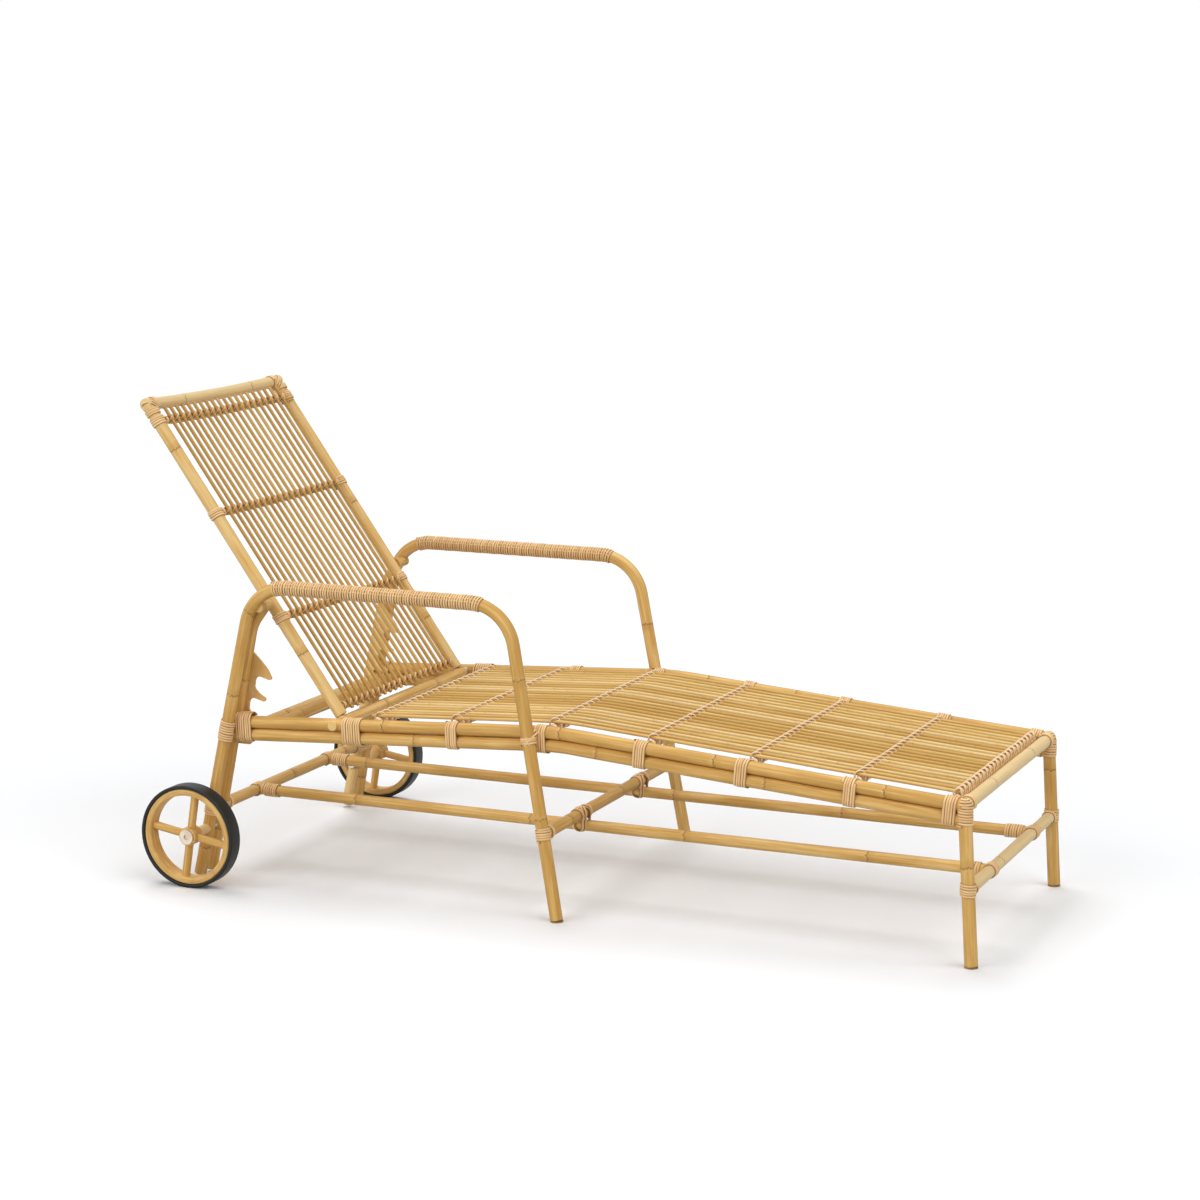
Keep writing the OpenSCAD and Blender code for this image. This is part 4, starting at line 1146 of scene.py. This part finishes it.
def build_back_lashings():
    """Lashings of the back's slats, and the wraps on its stiles, rods and top corners."""
    rng = chance("back lashings")
    shapes = Shapes()
    for u in BACK_ROD_U:
        lash_row(shapes, lambda y: bowed(u, y, ROD_RISE, rod_bow(u)), spaced(BACK_SLATS, BACK_PITCH), BACK_UP,
                 BACK_OUT, rng)
    shapes.build("back_lashing", ["back_lashings"], body="backrest")
    shapes = Shapes()
    for _, sign in SIDES:
        for u in BACK_ROD_U[1:]:
            ring_winding(shapes, back_point(u, sign * STILE_Y), BACK_UP, TUBE_R, 4, rng, ref=ACROSS)
            inner = bowed(u, sign * STILE_Y, ROD_RISE, rod_bow(u)) - sign * ROD_TIE_AT * ACROSS
            ring_winding(shapes, inner, ACROSS, ROD_TURN_R, 2, rng, ref=BACK_UP)
        below = back_point(BACK_LEN - TOP_TURNS_DOWN, sign * STILE_Y)
        ring_winding(shapes, below, BACK_UP, TUBE_R, 3, rng, ref=ACROSS)
        beside = back_point(BACK_LEN, sign * (STILE_Y - TOP_TURNS_IN), -TOP_TURNS_BOW)
        ring_winding(shapes, beside, ACROSS, TUBE_R, 3, rng, ref=BACK_UP)
        corner = back_point(BACK_LEN - TOP_LOOPS_IN, sign * (STILE_Y - TOP_LOOPS_IN))
        loops(shapes, corner, BACK_UP + sign * ACROSS, BACK_OUT, hull_outline((0, 0, TUBE_R)),
              (-2 * LANE, 0, 2 * LANE), rng, stretch=TOP_LOOPS_STRETCH)
    shapes.build("back_wrap", ["back_wraps"], body="backrest")


# Bindings


def rail_winding(shapes, x, sign, turns, rng, inward=0.0):
    """Turns round both stacked rails at x, and round what stands inward of them."""
    half = (turns * PEEL_PITCH + PEEL_SPARE) / 2
    ends = np.array([at(x + d, sign * RAIL_Y, rail_z(x + d)) for d in (-half, half)])
    _, side, up = frames(ends, ACROSS)
    below = -RAIL_STEP * unit(np.array((side[0][2], up[0][2])))
    row = [(shift, 0, TUBE_R) for shift in (0, -sign * inward)] if inward else [(0, 0, TUBE_R)]
    outline = hull_outline(*row, *((a + below[0], b + below[1], r) for a, b, r in row))
    winding(shapes, ends, ACROSS, outline, turns, rng, samples=40, start=rng.uniform(0, 1))


def build_bindings():
    """Rail, hinge, rear, corner, leg and stretcher bindings, and the armrests' windings."""
    rng = chance("bindings")
    shapes = Shapes()
    for _, sign in SIDES:
        for x in BIND_X:
            rail_winding(shapes, x, sign, 5, rng)
    shapes.build("rail_binding", ["rail_bindings"])
    for side, sign in SIDES:
        shapes = Shapes()
        rail_winding(shapes, HIP_BIND_X, sign, 8, rng)
        shapes.build(f"{side}_hinge_binding_peel", [f"{side}_hinge_binding"])
        shapes = Shapes()
        rail_winding(shapes, REAR_BIND_X - PEEL_PITCH, sign, 7, rng, inward=RAIL_Y - STRUT_Y)
        shapes.build(f"{side}_rear_binding_peel", [f"{side}_rear_binding"])
    build_corner_bindings(rng)
    build_leg_bindings(rng)
    build_stretcher_bindings(rng)
    build_arm_wraps(rng)


CORNER_TURNS_AT = (0.027, 0.028, 0.0205)  # from a foot corner to the turns on rails, crossbar and leg


def build_corner_bindings(rng):
    """Turns round both rails, the crossbar and the leg's top at the foot end, and a dome over the corner."""
    shapes = Shapes()
    back, inwards, down = CORNER_TURNS_AT
    z = CORNER_Z - down
    for _, sign in SIDES:
        rail_winding(shapes, -CORNER_BACK - back, sign, 5, rng)
        ring_winding(shapes, at(-CORNER_BACK, sign * (RAIL_Y - inwards), CORNER_Z), ACROSS, TUBE_R, 4, rng)
        ring_winding(shapes, at(front_x(z), sign * RAIL_Y, z), UP, TUBE_R, 7, rng, ref=ACROSS)
        dome(shapes, at(-CORNER_BACK, sign * RAIL_Y, CORNER_Z), TUBE_R, rng)
    shapes.build("corner_binding", ["corner_bindings"])


REAR_LEG_TURNS_Z = 0.342
MID_LEG_CROSS_X = -0.970
CROSS_ANGLE = 1.0  # of the strands that cross on the middle leg, from the level
CROSS_SHORT = 0.004  # how far short of the rails' centre lines these strands turn back


def build_leg_bindings(rng):
    """Turns round the rear arm leg and crossed strands round the middle leg, where they meet the rails."""
    shapes = Shapes()
    z = rail_z(MID_LEG_CROSS_X) - RAIL_STEP / 2
    inward = RAIL_Y - arm_y(z)
    reach = RAIL_STEP / 2 / math.sin(CROSS_ANGLE) - CROSS_SHORT
    outline = hull_outline((0, 0, TUBE_R), (reach, inward, TUBE_R), (-reach, inward, TUBE_R))
    for _, sign in SIDES:
        rear = on_leg(rear_x, sign, REAR_LEG_TURNS_Z)
        ring_winding(shapes, rear, leg_up(rear_x, sign), TUBE_R, 8, rng, ref=ACROSS)
        centre = on_leg(mid_x, sign, z)
        for lean in (1.0, -1.0):
            slant = np.array((math.cos(CROSS_ANGLE), 0.0, lean * math.sin(CROSS_ANGLE)))
            loops(shapes, centre, slant, sign * ACROSS, outline, (-LANE, LANE), rng)
        ring_winding(shapes, centre, leg_up(mid_x, sign), TUBE_R, 3, rng, ref=ACROSS)
    shapes.build("leg_binding", ["leg_bindings"])


CROSSING_TURNS_AT = 0.022  # from where two stretchers cross to the turns beside it
CROSSING_STRETCH = 1.41


def build_stretcher_bindings(rng):
    """Turns round the stretchers where they meet the legs and each other."""
    shapes = Shapes()
    z = STRETCHER_Z
    clear = (CROSS_R + 3.5 * PEEL_PITCH + PEEL_T) * AHEAD
    for _, sign in SIDES:
        inwards = -sign * JOIN_TURNS_AT * ACROSS
        front = at(front_x(z), sign * RAIL_Y, z)
        ring_winding(shapes, front, UP, TUBE_R, 5, rng, ref=ACROSS)
        ring_winding(shapes, front + inwards, ACROSS, CROSS_R, 2, rng)
        rear = at(rear_x(z), sign * STRUT_Y, z)
        rear_up = at(rear_x(z + 0.1), sign * STRUT_Y, z + 0.1) - rear
        pair = hull_outline((0, 0, TUBE_R), (0, sign * (arm_y(z) - STRUT_Y), TUBE_R))
        winding(shapes, straight(rear, rear_up, 5 * PEEL_PITCH), ACROSS, pair, 5, rng, samples=40)
        ring_winding(shapes, rear + inwards, ACROSS, CROSS_R, 2, rng)
        mid = on_leg(mid_x, sign, MID_Z)
        ring_winding(shapes, mid, leg_up(mid_x, sign), TUBE_R, 5, rng, ref=ACROSS)
        ring_winding(shapes, mid + inwards, ACROSS, CROSS_R, 2, rng)
        front_long = at(front_x(z), sign * LONG_Y, z)
        rear_long = at(rear_x(z), sign * LONG_Y, z)
        ring_winding(shapes, front_long - clear, AHEAD, LONG_R, 7, rng, ref=ACROSS)
        ring_winding(shapes, rear_long + clear, AHEAD, LONG_R, 7, rng, ref=ACROSS)
        ring_winding(shapes, front_long, ACROSS, CROSS_R, 5, rng)
        ring_winding(shapes, rear_long, ACROSS, CROSS_R, 5, rng)
        cross = at(mid_x(MID_Z), sign * LONG_Y, MID_Z)
        outline = hull_outline((0, 0, CROSS_R), (0, z - MID_Z, LONG_R))
        for lean in (1.0, -1.0):
            loops(shapes, cross, AHEAD + lean * ACROSS, UP, outline, (-LANE, LANE), rng,
                  stretch=CROSSING_STRETCH)
        for step in (-CROSSING_TURNS_AT, CROSSING_TURNS_AT):
            ring_winding(shapes, cross + step * ACROSS, ACROSS, CROSS_R, 2, rng)
    shapes.build("stretcher_binding", ["stretcher_bindings"])


WEAVE_STEP = 0.0015
WEAVE_ANGLES = (-0.75, -0.3, 0.15, 0.6)  # of the woven strands, from the armrest's top
WEAVE_STRIP = {"width": 0.0036, "thick": 0.0010}
WEAVE_LOW = TUBE_R - 0.0004  # from the cane's centre line to a strand under the winding
WEAVE_RISE = PEEL_T + 0.0001
WEAVE_WAVE = 1.6  # reach of the sine wave before it is clipped to the range from 0 to 1


def build_arm_wraps(rng):
    """The close winding round each armrest, with strands woven along its top.

    A strand's height over the cane is a clipped sine wave with one period for two turns of the winding, and
    each strand is half a period on from the last one.
    """
    for side, sign in SIDES:
        shapes = Shapes()
        line = arm_wrap_line(sign)
        turns = int(measured(line)[-1] / ARM_PITCH)
        winding(shapes, line, ACROSS, hull_outline((0, 0, TUBE_R)), turns, rng, samples=24, pitch=ARM_PITCH)
        path = resample(line, WEAVE_STEP)[3:-3]
        _, side_dir, up_dir = frames(path, ACROSS)
        turn = np.arange(len(path)) * WEAVE_STEP / ARM_PITCH
        for k, angle in enumerate(WEAVE_ANGLES):
            out = math.sin(angle) * side_dir + math.cos(angle) * up_dir
            out = out if (out @ UP).mean() > 0 else -out
            rise = np.clip(0.5 + WEAVE_WAVE * np.sin(math.pi * (turn + k)), 0.0, 1.0)
            centres = path + (WEAVE_LOW + rise * WEAVE_RISE)[:, None] * out
            strip(shapes, centres, out, rng, path=path, **WEAVE_STRIP)
        shapes.build(f"{side}_arm_wrap_peel", [f"{side}_arm_wrap"])


# Wheels and fittings

SHARP_EDGE = math.radians(35)
TYRE_EDGE = 0.0022  # radius of the rounded edges
RIM_EDGE = 0.004
HUB_EDGE = 0.002
FITTING_EDGE = 0.0005


def rounded_ring(inner, outer, width, edge):
    """Profile of a ring as a closed loop of (across, radius), with a quarter circle for each corner."""
    corners = (
        (width / 2 - edge, outer - edge, 0), (-width / 2 + edge, outer - edge, 90),
        (-width / 2 + edge, inner + edge, 180), (width / 2 - edge, inner + edge, 270),
    )
    return np.array([
        (across + edge * math.cos(a), radius + edge * math.sin(a))
        for across, radius, start in corners for a in np.radians(np.linspace(start, start + 90, 6))
    ])


def revolve(name, profile, sign, material, body, node, count=128):
    """A solid turned about the axle: each point of the closed profile goes round at its own radius."""
    turn = np.linspace(0, 2 * math.pi, count + 1)[:-1]
    across, radius = profile[:, :1], profile[:, 1:]
    grid = np.stack((radius * np.cos(turn), np.repeat(across, count, axis=1), radius * np.sin(turn)), axis=2)
    grid = grid + np.array((AXLE[0], sign * abs(AXLE[1]), AXLE[2]))
    r, c = (index.ravel() for index in np.indices((len(profile), count)))
    r2, c2 = (r + 1) % len(profile), (c + 1) % count
    faces = np.stack((r * count + c, r2 * count + c, r2 * count + c2, r * count + c2), axis=1)
    obj = new_mesh(name, grid.reshape(-1, 3), faces)
    turn_outwards(obj)
    dress(obj, material, body, [node])


def turn_outwards(obj):
    """Turns every face of a closed mesh outwards, and marks its sharp edges, so that they stay crisp."""
    work = bmesh.new()
    work.from_mesh(obj.data)
    bmesh.ops.recalc_face_normals(work, faces=work.faces)
    for edge in work.edges:
        edge.smooth = edge.is_manifold and edge.calc_face_angle(0.0) < SHARP_EDGE
    work.to_mesh(obj.data)
    work.free()


def build_wheels():
    """Tyres, wooden rims, spokes and hubs."""
    inner = TYRE_R - TYRE_T
    for side, sign in SIDES:
        body = f"{side}_wheel"
        tyre = rounded_ring(inner, TYRE_R, WHEEL_W, TYRE_EDGE)
        revolve(f"{side}_tyre_rubber", tyre, sign, "rubber", body, f"{side}_tyre")
        low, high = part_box(f"{side}_wheel_rim")
        rim = rounded_ring(inner - RIM_T, inner, high[1] - low[1], RIM_EDGE)
        revolve(f"{side}_rim_wood", rim, sign, "ring", body, f"{side}_wheel_rim")
        low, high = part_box(f"{side}_wheel_hub")
        hub = rounded_ring(AXLE_BORE_R, HUB_R, high[1] - low[1], HUB_EDGE)
        revolve(f"{side}_hub_wood", hub, sign, "ring", body, f"{side}_wheel_hub", count=64)
        rng = chance("spokes", side)
        shapes = Shapes()
        centre = np.array((AXLE[0], sign * abs(AXLE[1]), AXLE[2]))
        for k in range(4):
            angle = SPOKE_TURN + k * math.pi / 2
            out = np.array((math.cos(angle), 0.0, math.sin(angle)))
            line = np.array((centre + (HUB_R - SPOKE_LAP) * out, centre + (inner - RIM_T + SPOKE_LAP) * out))
            cane(shapes, line, SPOKE_R, rng, sides=20, ends=(False, False))
        shapes.build(f"{side}_spoke_canes", [f"{side}_wheel_spokes"], "cane", body)


def give(node, material, bevel=0.0):
    """Gives a CAD node a material, and softens its edges if bevel is set."""
    obj = frame["nodes"][node]
    material = make_materials()[material]
    if not obj.material_slots:
        obj.data.materials.append(material)
    for place in obj.material_slots:
        place.material = material
    if bevel:
        soft = obj.modifiers.new("Soft edges", "BEVEL")
        soft.width = bevel
        soft.segments = 2
        soft.limit_method = "ANGLE"
        soft.angle_limit = math.radians(50)


def build_fittings(plate_edge):
    """Materials of the notch plates, pads and metal parts, which keep their modelled shape."""
    for side, _ in SIDES:
        give(f"{side}_notch_plate", "board", plate_edge)
        give(f"{side}_wheel_cap", "cap")
    give("foot_pads", "pad")
    give("hinge_bolts", "board", FITTING_EDGE)
    give("axle_spacers", "board", FITTING_EDGE)
    for node in ("plate_screws", "hinge_washers", "axles", "axle_nuts"):
        give(node, "steel")


# Stage

FLOOR_HALF = 60.0
FLOOR_TONES = ((0.957, 0.97, 0.99), (0.972, 0.984, 1.0))
FLOOR_LIGHT = (0.50, 0.50, 0.50)  # what the floor throws back onto the lounger
CAMERA_AT = (2.47685, -5.62999, 1.73317)
CAMERA_DROP = math.radians(10.070)
CAMERA_TURN = math.radians(23.535)
CAMERA_LENS = 84.528
CAMERA_SHIFT = (-0.0035, -0.0042)


def add_sun(name, azimuth, height, strength, spread):
    """A soft distant light. Azimuth 0 shines from -Y and turns towards +X; height is above the horizon."""
    data = bpy.data.lights.new(name, "SUN")
    data.energy = strength
    data.angle = math.radians(spread)
    lamp = bpy.data.objects.new(name, data)
    bpy.context.scene.collection.objects.link(lamp)
    lamp.rotation_euler = (math.radians(90 - height), 0.0, math.radians(azimuth))
    lamp.location = (0.0, 0.0, 3.0)


def background_ray(g):
    """1 for a ray that shows the background: from the camera, off a shiny surface or through glass."""
    path = g.node("ShaderNodeLightPath").outputs
    shiny = g.math("MAXIMUM", path["Is Glossy Ray"], path["Is Transmission Ray"])
    return g.math("MAXIMUM", path["Is Camera Ray"], shiny)


def build_floor():
    """White floor that keeps the shadow."""
    corners = [(x * FLOOR_HALF, y * FLOOR_HALF, 0.0) for x, y in ((-1, -1), (1, -1), (1, 1), (-1, 1))]
    floor = new_mesh("floor", corners, [(0, 1, 2, 3)], smooth=False)
    material, shader, g = new_material("Floor")
    pale = g.mix(g.noise(g.place(), 3.0, 2.0), *FLOOR_TONES)
    g.put(shader.inputs["Base Color"], g.mix(background_ray(g), FLOOR_LIGHT, pale))
    shader.inputs["Roughness"].default_value = 0.9
    shader.inputs["Specular IOR Level"].default_value = 0.0
    floor.data.materials.append(material)


def build_surround(level):
    """White background, which lights the lounger only by level."""
    world = bpy.data.worlds.new("Surround")
    bpy.context.scene.world = world
    world.use_nodes = True
    g = Graph(world.node_tree)
    world.node_tree.nodes.clear()
    output = g.node("ShaderNodeOutputWorld")
    back = g.node("ShaderNodeBackground")
    back.inputs["Color"].default_value = (1, 1, 1, 1)
    g.put(back.inputs["Strength"], g.plus(g.times(background_ray(g), 1.0 - level), level))
    g.put(output.inputs["Surface"], back.outputs[0])


def build_stage(stage):
    """Floor, surround, soft lights and the camera at the photograph's place."""
    scene = bpy.context.scene
    build_floor()
    build_surround(stage.surround)
    add_sun("key", azimuth=stage.key_azimuth, height=68, strength=stage.key, spread=36)
    add_sun("left fill", azimuth=-32, height=20, strength=stage.left_fill, spread=60)
    add_sun("foot fill", azimuth=75, height=42, strength=stage.foot_fill, spread=60)
    data = bpy.data.cameras.new("photo view")
    camera = bpy.data.objects.new("photo view", data)
    scene.collection.objects.link(camera)
    camera.location = CAMERA_AT
    camera.rotation_euler = (math.pi / 2 - CAMERA_DROP, 0.0, CAMERA_TURN)
    data.sensor_width = 36.0
    data.lens = CAMERA_LENS
    data.shift_x, data.shift_y = CAMERA_SHIFT
    data.clip_end = 200.0
    scene.camera = camera
    scene.view_settings.view_transform = "Standard"


# Settings, commands and panel


class LoungerLook(bpy.types.PropertyGroup):
    """Colours of the canes and peels, and the sizes of small details."""

    cane_light: bpy.props.FloatVectorProperty(
        name="Cane light", description="Palest tone of the canes", subtype="COLOR", size=3,
        default=(0.88, 0.64, 0.30), min=0, max=1)
    cane_mid: bpy.props.FloatVectorProperty(
        name="Cane middle", description="Main tone of the canes", subtype="COLOR", size=3,
        default=(0.82, 0.51, 0.16), min=0, max=1)
    cane_dark: bpy.props.FloatVectorProperty(
        name="Cane dark", description="Tone of the streaks and stains", subtype="COLOR", size=3,
        default=(0.60, 0.33, 0.08), min=0, max=1)
    # Partly the cross bars' own paler tone, partly a painted sheen.
    cane_pale_and_sheen: bpy.props.FloatVectorProperty(
        name="Cane pale", description="Tone that the pale cross bars lean towards", subtype="COLOR", size=3,
        default=(1.0, 0.82, 0.46), min=0, max=1)
    slat_mid: bpy.props.FloatVectorProperty(
        name="Slat middle", description="Main tone of the thin slats", subtype="COLOR", size=3,
        default=(0.82, 0.54, 0.18), min=0, max=1)
    slat_dark: bpy.props.FloatVectorProperty(
        name="Slat dark", description="Tone of the slats' streaks", subtype="COLOR", size=3,
        default=(0.62, 0.36, 0.09), min=0, max=1)
    peel_light: bpy.props.FloatVectorProperty(
        name="Peel light", description="Palest tone of the windings", subtype="COLOR", size=3,
        default=(1.0, 0.69, 0.34), min=0, max=1)
    peel_dark: bpy.props.FloatVectorProperty(
        name="Peel dark", description="Tone of the windings' lines and edges", subtype="COLOR", size=3,
        default=(0.76, 0.435, 0.175), min=0, max=1)
    seat_mark_step: bpy.props.FloatProperty(
        name="Seat mark step", description="Usual distance of the node marks on a seat slat", unit="LENGTH",
        default=0.27, min=0.0001)
    back_mark_step: bpy.props.FloatProperty(
        name="Back mark step", description="Usual distance of the node marks on a back slat", unit="LENGTH",
        default=0.25, min=0.0001)
    plate_edge: bpy.props.FloatProperty(
        name="Plate edge", description="Width of the notch plates' softened edges", unit="LENGTH",
        default=0.0007, min=0.0001)


class LoungerStage(bpy.types.PropertyGroup):
    """Strength of the lights and of the surround."""

    key: bpy.props.FloatProperty(name="Key", description="Strength of the main light", default=1.4, min=0)
    left_fill: bpy.props.FloatProperty(
        name="Left fill", description="Strength of the fill light from the camera's left",
        default=1.75, min=0)
    foot_fill: bpy.props.FloatProperty(
        name="Foot fill", description="Strength of the fill light from beyond the foot end",
        default=1.5, min=0)
    key_azimuth: bpy.props.FloatProperty(
        name="Key direction", description="Turn of the main light round the lounger, in degrees",
        default=-140.0)
    surround: bpy.props.FloatProperty(
        name="Surround", description="Strength of the pale surround's light", default=0.15, min=0, max=1)


class LOUNGER_OT_rails(bpy.types.Operator):
    """Make the seat rails, the foot crossbar and the front legs."""

    bl_idname = "lounger.rails"
    bl_label = "Rails and front legs"

    def execute(self, context):
        build_rails()
        return {"FINISHED"}


class LOUNGER_OT_arms(bpy.types.Operator):
    """Make the arm frames, the rear struts and their stubs."""

    bl_idname = "lounger.arms"
    bl_label = "Arm frames and struts"

    def execute(self, context):
        build_arms()
        return {"FINISHED"}


class LOUNGER_OT_stretchers(bpy.types.Operator):
    """Make the stretchers and the rear cross rail."""

    bl_idname = "lounger.stretchers"
    bl_label = "Stretchers"

    def execute(self, context):
        build_stretchers()
        return {"FINISHED"}


class LOUNGER_OT_seat(bpy.types.Operator):
    """Make the seat's rods and slats."""

    bl_idname = "lounger.seat"
    bl_label = "Seat"

    def execute(self, context):
        build_seat(context.scene.lounger_look.seat_mark_step)
        return {"FINISHED"}


class LOUNGER_OT_back(bpy.types.Operator):
    """Make the backrest's canes."""

    bl_idname = "lounger.back"
    bl_label = "Backrest"

    def execute(self, context):
        build_back(context.scene.lounger_look.back_mark_step)
        return {"FINISHED"}


class LOUNGER_OT_support_bar(bpy.types.Operator):
    """Make the loose support bar."""

    bl_idname = "lounger.support_bar"
    bl_label = "Support bar"

    def execute(self, context):
        build_support_bar()
        return {"FINISHED"}


class LOUNGER_OT_seat_lashings(bpy.types.Operator):
    """Make the lashings of the seat's slats."""

    bl_idname = "lounger.seat_lashings"
    bl_label = "Seat lashings"

    def execute(self, context):
        build_seat_lashings()
        return {"FINISHED"}


class LOUNGER_OT_back_lashings(bpy.types.Operator):
    """Make the lashings and wraps of the backrest."""

    bl_idname = "lounger.back_lashings"
    bl_label = "Back lashings"

    def execute(self, context):
        build_back_lashings()
        return {"FINISHED"}


class LOUNGER_OT_bindings(bpy.types.Operator):
    """Make the frame's bindings and the armrests' windings."""

    bl_idname = "lounger.bindings"
    bl_label = "Bindings"

    def execute(self, context):
        build_bindings()
        return {"FINISHED"}


class LOUNGER_OT_wheels(bpy.types.Operator):
    """Make the wheels."""

    bl_idname = "lounger.wheels"
    bl_label = "Wheels"

    def execute(self, context):
        build_wheels()
        return {"FINISHED"}


class LOUNGER_OT_fittings(bpy.types.Operator):
    """Give the plates, pads and metal parts their materials."""

    bl_idname = "lounger.fittings"
    bl_label = "Plates and fittings"

    def execute(self, context):
        build_fittings(context.scene.lounger_look.plate_edge)
        return {"FINISHED"}


class LOUNGER_OT_stage(bpy.types.Operator):
    """Make the floor, the lights, the surround and the camera."""

    bl_idname = "lounger.stage"
    bl_label = "Stage"

    def execute(self, context):
        build_stage(context.scene.lounger_stage)
        return {"FINISHED"}


class LOUNGER_PT_panel(bpy.types.Panel):
    """Lists the settings and the commands in the 3D view's sidebar."""

    bl_idname = "LOUNGER_PT_panel"
    bl_label = "Sun lounger"
    bl_space_type = "VIEW_3D"
    bl_region_type = "UI"
    bl_category = "Lounger"

    def draw(self, context):
        for settings in (context.scene.lounger_look, context.scene.lounger_stage):
            for name in settings.__annotations__:
                self.layout.prop(settings, name)
        for command in COMMANDS:
            self.layout.operator(command.bl_idname)


COMMANDS = (
    LOUNGER_OT_rails, LOUNGER_OT_arms, LOUNGER_OT_stretchers, LOUNGER_OT_seat, LOUNGER_OT_back,
    LOUNGER_OT_support_bar, LOUNGER_OT_seat_lashings, LOUNGER_OT_back_lashings, LOUNGER_OT_bindings,
    LOUNGER_OT_wheels, LOUNGER_OT_fittings, LOUNGER_OT_stage,
)
CLASSES = (LoungerLook, LoungerStage, *COMMANDS, LOUNGER_PT_panel)


def register():
    """Registers the classes and gives the scene its settings."""
    for item in CLASSES:
        bpy.utils.register_class(item)
    bpy.types.Scene.lounger_look = bpy.props.PointerProperty(type=LoungerLook)
    bpy.types.Scene.lounger_stage = bpy.props.PointerProperty(type=LoungerStage)


def unregister():
    """Takes the settings and the classes away again."""
    del bpy.types.Scene.lounger_stage
    del bpy.types.Scene.lounger_look
    for item in reversed(CLASSES):
        bpy.utils.unregister_class(item)


def main():
    """Registers the add-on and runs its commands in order."""
    register()
    bpy.ops.lounger.rails()
    bpy.ops.lounger.arms()
    bpy.ops.lounger.stretchers()
    bpy.ops.lounger.seat()
    bpy.ops.lounger.back()
    bpy.ops.lounger.support_bar()
    bpy.ops.lounger.seat_lashings()
    bpy.ops.lounger.back_lashings()
    bpy.ops.lounger.bindings()
    bpy.ops.lounger.wheels()
    bpy.ops.lounger.fittings()
    bpy.ops.lounger.stage()


if __name__ == "__main__":
    main()
